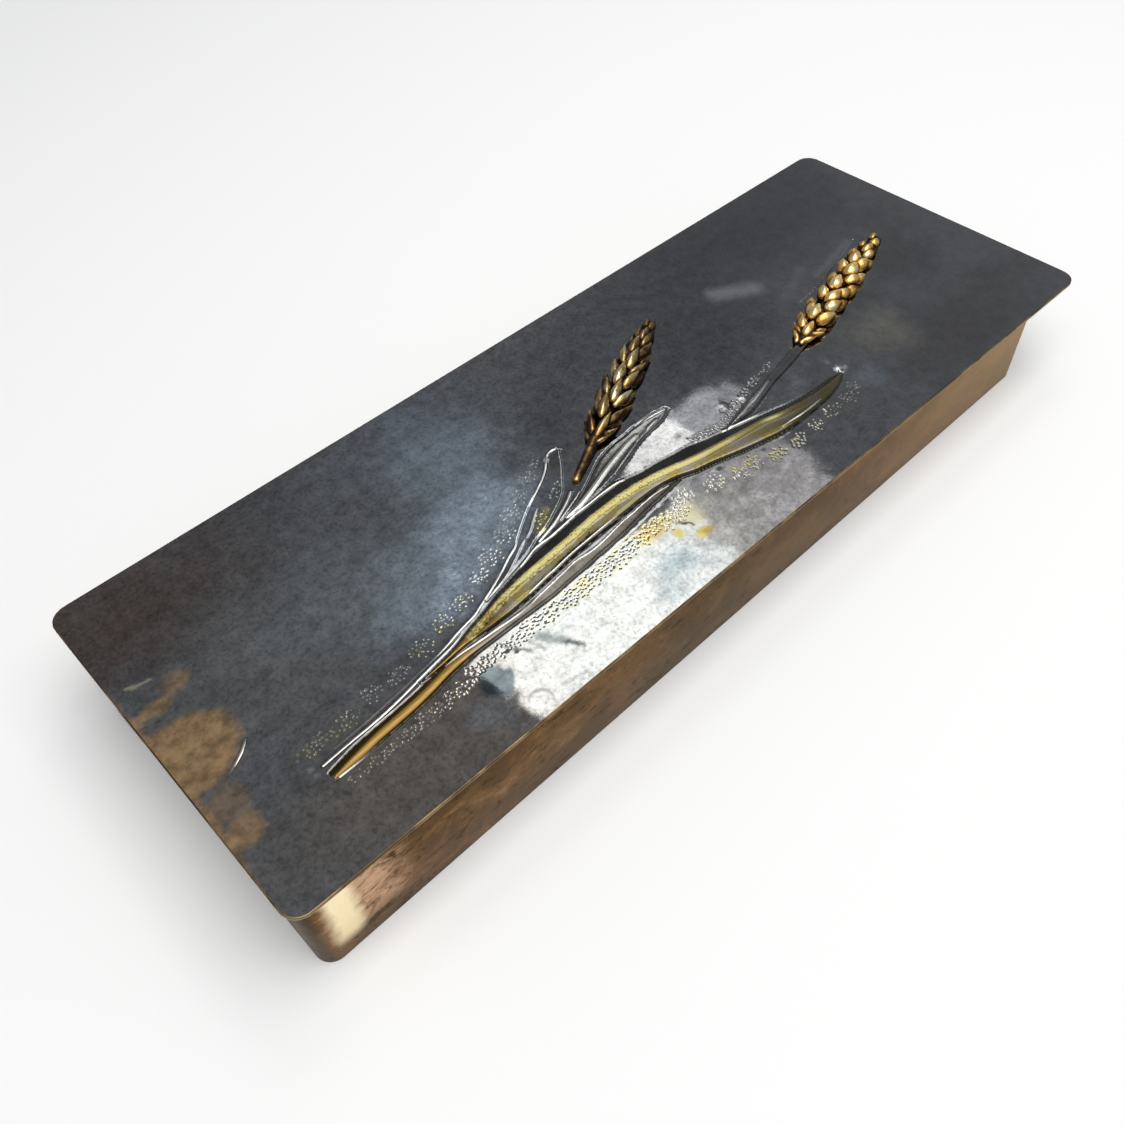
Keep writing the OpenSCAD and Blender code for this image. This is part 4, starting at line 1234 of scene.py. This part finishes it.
class BRASSBOX_OT_lid_plate(Operator):
    """Beats the lid plate out of a fine sheet: the spray raised, chased and matted."""

    bl_idname = "brassbox.lid_plate"
    bl_label = "Lid plate"

    # Where each halving of the mesh reaches: outside and inside a form's edge, thickness of
    # matting, and distance from a pin, in drawn millimetres
    HALVINGS = ((5.0, FAR, -0.9, 5.0), (1.5, FAR, -0.35, 2.6), (0.6, 0.6, 0.03, 1.4))
    # How far each halving reaches from a burnished line
    LINE_REACHES = (4.0, 1.4, 0.6)
    # A flat strip along the border keeps the face's mirror flat up to its eased edge
    STRIP = 0.12 * MM
    HOLE_SLACK = 0.05 * MM
    # How near to a pin a rim's points belong to its hole, in radii of the hole
    HOLE_RIM = 3
    # Steps of the eased edge, as shares of the ease: out and down from the face, then in from the
    # wall and up from the underside
    TOP_EASE = ((0.7, 0.3), (0.3, 1.0))
    UNDER_EASE = ((0.0, 1.0), (0.3, 0.3), (0.7, 0.0))
    # The part of the sheet's thickness, from the face down, that carries the masks
    MASKED_SHARE = 0.7
    # The sheet stays this far inside the CAD plate's outline
    SHY = 0.002 * MM

    def execute(self, context):
        self.lid = context.scene.brassbox_lid
        colours = context.scene.brassbox_finish
        self.unit = self.lid.length / DRAWN_LENGTH
        self.half = Vector((self.lid.length / 2 - self.SHY, self.lid.width / 2 - self.SHY))
        self.face = PLATE_LOW.z + SHEET_THICKNESS
        turn = Matrix.Rotation(self.lid.skew, 2)
        pins, radius = pin_places()
        self.pins = [turn.inverted() @ pin for pin in pins]
        self.hole = radius + self.HOLE_SLACK
        bm = self.sheet()
        face = self.worked(bm.verts)
        for v, h in zip(bm.verts, face.height):
            v.co.z = self.face + h * self.unit
        self.close(bm)
        bmesh.ops.recalc_face_normals(bm, faces=bm.faces)
        face = self.worked(bm.verts)
        on_top = points_of(bm.verts)[:, 2] > self.face - SHEET_THICKNESS * self.MASKED_SHARE
        bmesh.ops.rotate(bm, cent=(0, 0, 0), matrix=Matrix.Rotation(self.lid.skew, 3, "Z"),
                         verts=bm.verts)
        piece = settle(bm, "lid_sheet", "lid",
                       [silvered_finish(colours), edge_finish(colours)], "lid_plate",
                       smooth_angle=60.0)
        for mask, away in WorkedFace.MASKS.items():
            carry_mask(piece, mask, np.where(on_top, getattr(face, mask), away))
        return {"FINISHED"}

    def worked(self, verts):
        """The worked face at some points of the sheet."""
        places = points_of(verts) / self.unit
        return WorkedFace(places[:, 0], places[:, 1], self.lid)

    def sheet(self):
        """A flat sheet with round corners and pin holes, fine where it is worked."""
        size = self.half - Vector((1, 1)) * (self.lid.edge_ease + self.STRIP)
        bm = bmesh.new()
        bmesh.ops.create_grid(bm, x_segments=round(2 * size.x / self.lid.pitch),
                              y_segments=round(2 * size.y / self.lid.pitch), size=1)
        bmesh.ops.scale(bm, vec=(*size, 1), verts=bm.verts)
        for halving, line_reach in zip(self.HALVINGS, self.LINE_REACHES):
            middles = np.array([f.calc_center_median() for f in bm.faces]) / self.unit
            zone = self.wanted(middles[:, 0], middles[:, 1], *halving)
            zone |= nearest_ridge(middles[:, 0], middles[:, 1])[1] < line_reach
            zone |= LONG_LEAF.off_crest(middles[:, 0], middles[:, 1]) < line_reach
            edges = dict.fromkeys(e for f, fine in zip(bm.faces, zone) if fine for e in f.edges)
            bmesh.ops.subdivide_edges(bm, edges=list(edges), cuts=1, use_grid_fill=True)
        radius = self.lid.corner_radius - self.lid.edge_ease - self.STRIP
        for v in bm.verts:
            self.round_corner(v, size, radius)
        self.drill(bm)
        return bm

    def wanted(self, u, v, outside, inside, matted, near_pin):
        """Where the sheet needs a finer mesh."""
        zone = matting_cover(u, v)[0] > matted
        for form in FORMS:
            d = form.inset(u, v)
            zone |= (d > -outside) & (d < inside)
        for pin in self.pins:
            zone |= np.hypot(u - pin.x / self.unit, v - pin.y / self.unit) < near_pin
        return zone

    @staticmethod
    def round_corner(v, size, radius):
        """Moves a point of a square corner block onto the round corner."""
        a, b = abs(v.co.x) - (size.x - radius), abs(v.co.y) - (size.y - radius)
        if a > 0 and b > 0:
            share = max(a, b) / math.hypot(a, b)
            v.co.x = math.copysign(size.x - radius + a * share, v.co.x)
            v.co.y = math.copysign(size.y - radius + b * share, v.co.y)

    def drill(self, bm):
        """Opens the round holes that take the ears' pins."""
        for pin in self.pins:
            inner = [v for v in bm.verts if (v.co.xy - pin).length < self.hole]
            bmesh.ops.delete(bm, geom=inner, context="VERTS")
            for v in bm.verts:
                off = v.co.xy - pin
                if v.is_boundary and off.length < self.HOLE_RIM * self.hole:
                    v.co.xy = pin + off.normalized() * self.hole

    def close(self, bm):
        """Gives the sheet its eased edge, the walls of its pin holes and its flat underside."""
        near = self.HOLE_RIM * self.hole
        holes, outer = [], []
        for e in (e for e in bm.edges if e.is_boundary):
            by_pin = any((e.verts[0].co.xy - pin).length < near for pin in self.pins)
            (holes if by_pin else outer).append(e)
        under = self.face - SHEET_THICKNESS
        ease = self.lid.edge_ease
        holes = self.draw_down(bm, holes, 0.0, under)
        outer = self.draw_down(bm, outer, self.STRIP, self.face)
        for out, down in self.TOP_EASE:
            outer = self.draw_down(bm, outer, out * ease, self.face - down * ease)
        for back, up in self.UNDER_EASE:
            outer = self.draw_down(bm, outer, -back * ease, under + up * ease)
        bmesh.ops.triangle_fill(bm, edges=outer + holes, use_beauty=False, use_dissolve=False)

    def draw_down(self, bm, edges, out, height):
        """Draws a rim on, outwards by a step and down to a height, as cut metal."""
        made = bmesh.ops.extrude_edge_only(bm, edges=edges)["geom"]
        inner = self.half - Vector((1, 1)) * self.lid.corner_radius
        for v in (g for g in made if isinstance(g, bmesh.types.BMVert)):
            centre = Vector((max(-inner.x, min(inner.x, v.co.x)), max(-inner.y, min(inner.y, v.co.y))))
            v.co.xy += (v.co.xy - centre).normalized() * out
            v.co.z = height
        for f in (g for g in made if isinstance(g, bmesh.types.BMFace)):
            f.material_index = 1
        return [e for e in made if isinstance(e, bmesh.types.BMEdge) and e.is_boundary]


class BRASSBOX_OT_wheat_ears(Operator):
    """Casts the two wheat ears, grain by grain, and blends each into one skin."""

    bl_idname = "brassbox.wheat_ears"
    bl_label = "Wheat ears"

    # Where the two pins of an ear stand along it, as shares of its length
    PIN_SHARES = (0.22, 0.68)
    WIDTH_SHARES = (0.66, 0.96, 1, 0.98, 0.88, 0.64, 0.26)
    HEIGHT_SHARES = (0.62, 0.92, 1, 1, 0.92, 0.72, 0.4)
    # Rows of grains: side, start within the tier, where a grain starts and ends across, how
    # high it lies, and its size
    ROWS = ((1, 0.30, 0.14, 0.36, 0.50, 1.0), (-1, 0.75, 0.14, 0.36, 0.50, 1.0),
            (1, 0.80, 0.26, 0.43, 0.20, 0.86), (-1, 0.25, 0.26, 0.43, 0.20, 0.86))
    # Short grains that spread at an ear's foot: side, start in millimetres, spread and size
    FOOT_GRAINS = ((1, -1.5, 0.42, 0.6), (-1, -1.5, 0.42, 0.6), (1, 0.5, 0.5, 0.7), (-1, 0.5, 0.5, 0.7),
                   (1, -2.5, 0.16, 0.5), (-1, -2.5, 0.16, 0.5))
    # Where they start across the ear, and how high they lie
    FOOT_ACROSS, FOOT_HIGH = 0.1, 0.42
    # Where a tier starts, as a share of the pitch, and the grain on its crest: where it starts and
    # ends across, how high it lies and its size
    TIER_START = 0.1
    CREST_GRAIN = (0.05, 0.12, 1.0, 1.1)
    # How loosely a crest grain is set along, across and in size, and a row's grain also in height
    CREST_SLACK = (0.1, 0.07, 0.1)
    ROW_SLACK = (0.14, 0.06, 0.1, 0.14)
    # No grain starts beyond this share of the ear's length
    LAST_START = 0.985
    # A grain's shape: how much fuller it is behind, how far it draws in towards its tip, the height
    # and the width of its keel, and how far its tip is drawn out
    FULLER, DRAWN_IN, KEEL_HIGH, KEEL_WIDE, DRAWN_OUT = 0.14, 0.42, 0.18, 0.22, 0.3
    # Where a grain's middle lies between its foot and its tip
    GRAIN_MIDDLE = 0.42
    # How far the castings sink into the face, and how near the cut plane a point counts as on it
    SINK, CUT_SLACK = 0.05 * MM, 0.0001 * MM
    # How often the skin is smoothed to find its proud places, and the height above which it is as
    # rubbed as height can make it
    SMOOTHINGS = 24
    FULLY_RUBBED = 4.5 * MM
    # The rubbing of a flat place, how much a millimetre proud adds, and how much the height adds
    RUB_EVEN, RUB_PROUD, RUB_HIGH = 0.3, 2.2, 0.75

    def execute(self, context):
        self.ears = context.scene.brassbox_ears
        colours = context.scene.brassbox_finish
        face = PLATE_LOW.z + SHEET_THICKNESS
        pins, _ = pin_places()
        # Each ear's name, CAD node and pins, and its stem, plumpness, seed and gilding
        for name, node, (near, far), stem, plump, seed, gilding in (
            ("left_ear", "wheat_ear_left", pins[:2], self.ears.stem_length, 1.0, 3, 0.15),
            ("right_ear", "wheat_ear_right", pins[2:], self.ears.stem_radius, 1.36, 8, 1.0),
        ):
            length = (far - near).length / (self.PIN_SHARES[1] - self.PIN_SHARES[0])
            foot = near - (far - near).normalized() * length * self.PIN_SHARES[0]
            bm = self.cast(length, stem, plump, np.random.default_rng(seed))
            heading = math.atan2(far.y - near.y, far.x - near.x)
            bmesh.ops.transform(
                bm, verts=bm.verts,
                matrix=Matrix.Translation((*foot, face)) @ Matrix.Rotation(heading, 4, "Z"))
            bmesh.ops.bisect_plane(
                bm, geom=[*bm.verts, *bm.edges, *bm.faces], dist=self.CUT_SLACK,
                plane_co=(0, 0, face - self.SINK), plane_no=(0, 0, -1), clear_outer=True)
            bmesh.ops.holes_fill(bm, edges=[e for e in bm.edges if e.is_boundary], sides=0)
            bmesh.ops.recalc_face_normals(bm, faces=bm.faces)
            piece = settle(bm, name, "lid",
                           [cast_finish(name + "_finish", colours, gilding)], node,
                           smooth_angle=75.0)
            carry_mask(piece, "rub", self.rubbing(piece.data, face))
        return {"FINISHED"}

    def cast(self, length, stem, plump, rng):
        """All the grains and the stem of one ear, blended into one skin."""
        bm = bmesh.new()
        self.core(bm, length, stem)
        pitch = self.ears.tier_pitch * plump ** 0.4
        for i in range(int(length / pitch) + 1):
            side = 1 if i % 2 else -1
            x = (i + self.TIER_START) * pitch
            lie = rng.uniform(-1, 1, 10)
            foot, tip, high, size = self.CREST_GRAIN
            along, across, larger = self.CREST_SLACK
            self.grain_at(bm, length, x + along * lie[0] * pitch, side * foot,
                          side * tip + across * lie[1], high, size + larger * lie[2], plump)
            along, across, higher, larger = self.ROW_SLACK
            for row, (way, start, foot, tip, high, size) in enumerate(self.ROWS):
                self.grain_at(bm, length, x + (start + along * lie[row]) * pitch, way * foot,
                              way * (tip + across * lie[row + 2]), high + higher * lie[row + 3],
                              size * (1 + larger * lie[row + 5]), plump)
        for way, x, across, size in self.FOOT_GRAINS:
            self.grain_at(bm, length, x * MM, way * self.FOOT_ACROSS, way * across,
                          self.FOOT_HIGH, size, plump ** 0.5)
        return self.skinned(bm)

    @staticmethod
    def read(shares, at):
        """Evenly spaced shares, read at a place from 0 to 1 along them."""
        return float(np.interp(at * (len(shares) - 1), range(len(shares)), shares))

    def width(self, share):
        """The ear's width at a share along it."""
        return self.read(self.WIDTH_SHARES, share) * self.ears.width

    def rise(self, share):
        """The ear's height at a share along it."""
        return self.read(self.HEIGHT_SHARES, share) * self.ears.height

    def core(self, bm, length, stem):
        """The stem and the core that the grains sit on."""
        r = self.ears.stem_radius
        thick = self.ears.width * 0.15
        # Where each rod starts, how high, where it ends, how high, and its radii there
        for start, low, end, high, r_start, r_end in (
            (-stem, 0.3 * MM, 2 * MM, 0.9 * MM, 0.8 * r, 1.15 * r),
            (0, 0.4 * MM, length / 2, 0.8 * MM, r, thick),
            (length / 2, 0.8 * MM, length - 3 * MM, 0.7 * MM, thick, 0.8 * r),
        ):
            self.rod(bm, Vector((start, 0, low)), Vector((end, 0, high)), r_start, r_end)

    def grain_at(self, bm, length, x, foot_across, tip_across, high, size, plump):
        """A grain that starts at x, between places across the ear and at a share of its height."""
        here = x / length
        if here > self.LAST_START:
            return
        slim = 0.45 + 0.55 * self.width(here) / self.ears.width
        r = self.ears.grain_radius * size * slim * plump
        tip_x = min(x + self.ears.grain_length * size * (0.55 + 0.45 * slim) / plump, length)
        there = tip_x / length
        deep = 1.2 * r
        foot = Vector((x, foot_across * self.width(here), high * self.rise(here)))
        tip = Vector((tip_x, tip_across * self.width(there), high * self.rise(there)))
        foot.z = min(foot.z, self.rise(here) - deep)
        tip.z = min(tip.z, self.rise(there) - 0.55 * deep)
        self.grain(bm, foot, tip, r)

    @staticmethod
    def rod(bm, start, end, r_start, r_end):
        """A tapering rod with round ends."""
        way = end - start
        turn = way.to_track_quat("Z", "Y").to_matrix().to_4x4()
        bmesh.ops.create_cone(bm, cap_ends=True, segments=20, radius1=r_start, radius2=r_end,
                              depth=way.length, matrix=Matrix.Translation((start + end) / 2) @ turn)
        for place, r in ((start, r_start), (end, r_end)):
            bmesh.ops.create_uvsphere(bm, u_segments=20, v_segments=10, radius=r,
                                      matrix=Matrix.Translation(place) @ turn)

    def grain(self, bm, foot, tip, r):
        """One husked grain: fuller behind, drawn to a point, with a keel along its back."""
        way = tip - foot
        made = bmesh.ops.create_uvsphere(bm, u_segments=16, v_segments=12, radius=1)["verts"]
        for v in made:
            t = v.co.z
            ahead = max(t, 0)
            slim = (1 - self.FULLER * t) * (1 - self.DRAWN_IN * ahead ** 2)
            keel = (self.KEEL_HIGH * math.exp(-(v.co.y / self.KEEL_WIDE) ** 2) * max(v.co.x, 0)
                    * (1 - t * t))
            v.co = Vector((v.co.x * slim + keel, v.co.y * slim, t + self.DRAWN_OUT * ahead ** 3))
        side = Vector((0, 0, 1)).cross(way).normalized()
        axes = Matrix((way.cross(side).normalized(), side, way.normalized())).transposed()
        size = Matrix.Diagonal((r, r, way.length * 0.5, 1))
        middle = Matrix.Translation(foot + way * self.GRAIN_MIDDLE)
        bmesh.ops.transform(bm, verts=made, matrix=middle @ axes.to_4x4() @ size)

    def skinned(self, bm):
        """The same casting as one skin, evenly meshed and a little softened."""
        mesh = bpy.data.meshes.new("casting")
        bm.to_mesh(mesh)
        bm.free()
        blank = bpy.data.objects.new("casting", mesh)
        bpy.context.scene.collection.objects.link(blank)
        skin = blank.modifiers.new("skin", "REMESH")
        skin.mode = "VOXEL"
        skin.voxel_size = self.ears.skin
        done = blank.evaluated_get(bpy.context.evaluated_depsgraph_get())
        bm = bmesh.new()
        bm.from_mesh(done.to_mesh())
        done.to_mesh_clear()
        bpy.data.objects.remove(blank)
        bpy.data.meshes.remove(mesh)
        bmesh.ops.smooth_vert(bm, verts=bm.verts, factor=0.5, use_axis_x=True,
                              use_axis_y=True, use_axis_z=True)
        for v in bm.verts:
            v.co.z = min(v.co.z, self.ears.height)
        return bm

    def rubbing(self, mesh, face):
        """High places of a skin from 0 to 1, found against the same skin smoothed out."""
        count = len(mesh.vertices)
        co, normal = np.empty(count * 3), np.empty(count * 3)
        mesh.vertices.foreach_get("co", co)
        mesh.vertices.foreach_get("normal", normal)
        co, normal = co.reshape(-1, 3), normal.reshape(-1, 3)
        ends = np.empty(len(mesh.edges) * 2, int)
        mesh.edges.foreach_get("vertices", ends)
        ends = ends.reshape(-1, 2)
        near, far = np.concatenate([ends, ends[:, ::-1]]).T
        number = np.maximum(np.bincount(near, minlength=count), 1)
        smooth = co.copy()
        for _ in range(self.SMOOTHINGS):
            smooth = np.stack([np.bincount(near, smooth[far, k], count) for k in range(3)], 1)
            smooth /= number[:, None]
        proud = ((co - smooth) * normal).sum(1) / MM
        high = np.clip((co[:, 2] - face) / self.FULLY_RUBBED, 0, 1)
        return np.clip(self.RUB_EVEN + proud * self.RUB_PROUD + (high - 0.5) * self.RUB_HIGH, 0, 1)


class BRASSBOX_OT_body(Operator):
    """Eases the edges of the wall and the base and gives them their patina."""

    bl_idname = "brassbox.body"
    bl_label = "Body"

    def execute(self, context):
        case = context.scene.brassbox_case
        patina = patina_finish(context.scene.brassbox_finish)
        for node, name, ease in (("wall_band", "wall_sheet", case.wall_ease),
                                 ("base_plate", "base_sheet", case.base_ease)):
            settle(eased_copy(node, ease), name, "case", [patina], node)
        return {"FINISHED"}


class BRASSBOX_OT_hinge(Operator):
    """Eases the hinge's leaves and gives the hinge and the pins their bare brass."""

    bl_idname = "brassbox.hinge"
    bl_label = "Hinge and pins"

    def execute(self, context):
        ease = context.scene.brassbox_case.leaf_ease
        brass = bare_finish(context.scene.brassbox_finish)
        for node, name, body in (("hinge_body_leaf", "body_leaf", "case"),
                                 ("hinge_lid_leaf", "lid_leaf", "lid")):
            settle(eased_copy(node, ease), name, body, [brass], node)
        for node in ("hinge_pin", "ear_pins"):
            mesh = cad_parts[node].data
            mesh.materials.clear()
            mesh.materials.append(brass)
        return {"FINISHED"}


class BRASSBOX_OT_lining(Operator):
    """Eases the boards of the lining and gives them their wood."""

    bl_idname = "brassbox.lining"
    bl_label = "Lining"

    ALONG_X = (0.05, 1, 1)
    ALONG_Y = (1, 0.05, 1)

    def execute(self, context):
        ease = context.scene.brassbox_case.board_ease
        colours = context.scene.brassbox_finish
        long_wood = wood_finish("long_board_finish", colours, self.ALONG_X)
        cross_wood = wood_finish("cross_board_finish", colours, self.ALONG_Y)
        for node, wood, body in (
            ("floor_liner", long_wood, "case"), ("liner_front", long_wood, "case"),
            ("liner_back", long_wood, "case"), ("liner_left", cross_wood, "case"),
            ("liner_right", cross_wood, "case"), ("lid_liner", long_wood, "lid"),
        ):
            settle(eased_copy(node, ease), node + "_board", body, [wood], node)
        return {"FINISHED"}


class BRASSBOX_OT_stage(Operator):
    """Sets the floor, the soft lights and the camera."""

    bl_idname = "brassbox.stage"
    bl_label = "Stage"

    # The camera's place in metres, and the directions of its right side and its top
    EYE = (-0.1447, -0.1339, 0.2114)
    RIGHT = (0.7191, -0.6943, -0.0290)
    UP = (0.5489, 0.5418, 0.6365)
    SENSOR = 36.0
    # The soft box overhead: its middle and size in metres
    BOX_PLACE = (0.0, -0.42, 1.30)
    BOX_SIZE = (1.7, 1.3)
    BOX_TINT = (1.0, 0.99, 0.97)
    # How far the floor reaches from the middle, and how near and far the camera sees, in metres
    FLOOR_REACH = 4.0
    CLIP = (0.01, 50)
    # The room's colour, and how bright the camera sees the backdrop
    ROOM_TINT = (0.93, 0.965, 1.0, 1.0)
    BACKDROP = 0.9
    # How high the panes hang over the lid, in metres
    PANE_LIFT = 0.6
    DAY, ROSY, PLAIN = (1.0, 1.0, 0.98), (1.0, 0.95, 0.92), (1.0, 1.0, 1.0)
    # The parts of the lid that mirror a pane, in drawn millimetres (left, right, front, back),
    # with its share of the brightness and its colour
    PANES = (
        (-70.5, -23, -62, -25, 1.0, DAY),
        (-74, -70.5, -62, -40.5, 1.0, DAY),
        (-72.4, -70.5, -40.5, -38, 1.0, DAY),
        (-75.2, -70.5, -38, -30.5, 1.0, DAY),
        (-75.5, -70.5, -30.5, -25, 1.0, DAY),
        (-23, -14, -62, -25, 0.8, (0.97, 1.0, 1.0)),
        (-14, 21.5, -62, -36, 0.38, ROSY),
        (-14, -8, -36, -25, 0.8, DAY),
        (-8, 21.5, -36, -24, 0.3, ROSY),
        (-9, -3, -26, -20, 0.7, DAY),
        (1, 5, -29.5, -22, 0.8, DAY),
        (8.5, 12, -29.5, -24, 0.8, (1.0, 0.98, 0.96)),
        (14, 17.5, -32, -26, 0.8, DAY),
        (-13, 9, -17, -5.5, 1.2, (1.0, 0.99, 0.93)),
        (9, 25.5, -19, -5, 0.36, PLAIN),
        (27, 31, -14, -7, 0.35, PLAIN),
    )

    def execute(self, context):
        stage = context.scene.brassbox_stage
        self.floor(stage)
        self.room(context, stage)
        self.soft_box("overhead", self.BOX_PLACE, self.BOX_SIZE, stage.overhead, self.BOX_TINT)
        unit = context.scene.brassbox_lid.length / DRAWN_LENGTH
        for i, pane in enumerate(self.PANES):
            self.pane(f"pane_{i}", [side * unit for side in pane[:4]], stage.window * pane[4], pane[5])
        self.camera(context, stage)
        return {"FINISHED"}

    def floor(self, stage):
        """A wide plain floor."""
        bm = bmesh.new()
        bmesh.ops.create_grid(bm, x_segments=8, y_segments=8, size=self.FLOOR_REACH)
        mesh = bpy.data.meshes.new("floor")
        bm.to_mesh(mesh)
        bm.free()
        f = Finish("floor_finish")
        mesh.materials.append(f.shade(Base_Color=tuple(stage.floor_colour), Roughness=0.9,
                                      Specular_IOR_Level=0.1))
        floor = bpy.data.objects.new("floor", mesh)
        bpy.context.scene.collection.objects.link(floor)

    def room(self, context, stage):
        """A plain room, dimmer near the floor, that the camera itself sees as a pale backdrop."""
        world = bpy.data.worlds.new("room")
        context.scene.world = world
        world.use_nodes = True
        tree = world.node_tree
        tree.nodes.clear()
        nodes = {name: tree.nodes.new("ShaderNode" + kind) for name, kind in (
            ("way", "TexCoord"), ("parts", "SeparateXYZ"), ("range", "MapRange"),
            ("room", "Background"), ("backdrop", "Background"), ("path", "LightPath"),
            ("mix", "MixShader"), ("out", "OutputWorld"))}
        nodes["room"].inputs["Color"].default_value = self.ROOM_TINT
        nodes["range"].inputs["To Min"].default_value = stage.horizon
        nodes["range"].inputs["To Max"].default_value = stage.zenith
        nodes["backdrop"].inputs["Strength"].default_value = self.BACKDROP
        for start, out, end, into in (
            ("way", "Generated", "parts", 0), ("parts", "Z", "range", "Value"),
            ("range", "Result", "room", "Strength"), ("room", 0, "mix", 1),
            ("backdrop", 0, "mix", 2), ("path", "Is Camera Ray", "mix", 0), ("mix", 0, "out", 0),
        ):
            tree.links.new(nodes[start].outputs[out], nodes[end].inputs[into])
        context.scene.view_settings.view_transform = "Standard"

    def soft_box(self, name, place, size, radiance, colour):
        """A level rectangular light of a given brightness, facing down."""
        data = bpy.data.lights.new(name, "AREA")
        data.shape = "RECTANGLE"
        data.size, data.size_y = size
        data.energy = radiance * math.pi * size[0] * size[1]
        data.color = colour
        light = bpy.data.objects.new(name, data)
        light.location = place
        light.visible_camera = False
        bpy.context.scene.collection.objects.link(light)

    def pane(self, name, sides, radiance, colour):
        """A pane placed so that the lid mirrors it to the camera in this part of the lid."""
        left, right, front, back = sides
        face = PLATE_LOW.z + SHEET_THICKNESS
        eye = Vector(self.EYE)
        grow = (self.PANE_LIFT + eye.z - face) / (eye.z - face)
        low = eye.xy + (Vector((left, front)) - eye.xy) * grow
        high = eye.xy + (Vector((right, back)) - eye.xy) * grow
        self.soft_box(name, (*((low + high) / 2), face + self.PANE_LIFT), high - low, radiance, colour)

    def camera(self, context, stage):
        """The camera at the photograph's angle."""
        data = bpy.data.cameras.new("camera")
        data.lens = stage.lens
        data.sensor_width = self.SENSOR
        data.clip_start, data.clip_end = self.CLIP
        camera = bpy.data.objects.new("camera", data)
        right = Vector(self.RIGHT).normalized()
        back = right.cross(Vector(self.UP)).normalized()
        turn = Matrix((right, back.cross(right), back)).transposed().to_4x4()
        camera.matrix_world = Matrix.Translation(self.EYE) @ turn
        context.scene.collection.objects.link(camera)
        context.scene.camera = camera


class BRASSBOX_PT_sidebar(Panel):
    """Lists the sizes and colours, and a button for each group of pieces."""

    bl_label = "Brass Box"
    bl_idname = "BRASSBOX_PT_sidebar"
    bl_space_type = "VIEW_3D"
    bl_region_type = "UI"
    bl_category = "Brass Box"

    def draw(self, context):
        for group, kind in SETTINGS.items():
            box = self.layout.box()
            box.label(text=kind.__doc__.rstrip("."))
            for name in kind.__annotations__:
                box.prop(getattr(context.scene, group), name)
        for piece in PIECES:
            self.layout.operator(piece.bl_idname)


SETTINGS = {"brassbox_lid": LidSettings, "brassbox_ears": EarSettings, "brassbox_case": CaseSettings,
            "brassbox_finish": FinishSettings, "brassbox_stage": StageSettings}
PIECES = (BRASSBOX_OT_lid_plate, BRASSBOX_OT_wheat_ears, BRASSBOX_OT_body, BRASSBOX_OT_hinge,
          BRASSBOX_OT_lining, BRASSBOX_OT_stage)


def register():
    """Registers the settings, the operators and the panel."""
    for group, settings in SETTINGS.items():
        bpy.utils.register_class(settings)
        setattr(bpy.types.Scene, group, PointerProperty(type=settings))
    for cls in (*PIECES, BRASSBOX_PT_sidebar):
        bpy.utils.register_class(cls)


def unregister():
    """Takes away what register adds."""
    for cls in reversed((*PIECES, BRASSBOX_PT_sidebar)):
        bpy.utils.unregister_class(cls)
    for group, settings in reversed(SETTINGS.items()):
        delattr(bpy.types.Scene, group)
        bpy.utils.unregister_class(settings)


def main():
    """Builds everything in order."""
    register()
    bpy.ops.brassbox.lid_plate()
    bpy.ops.brassbox.wheat_ears()
    bpy.ops.brassbox.body()
    bpy.ops.brassbox.hinge()
    bpy.ops.brassbox.lining()
    bpy.ops.brassbox.stage()


if __name__ == "__main__":
    main()
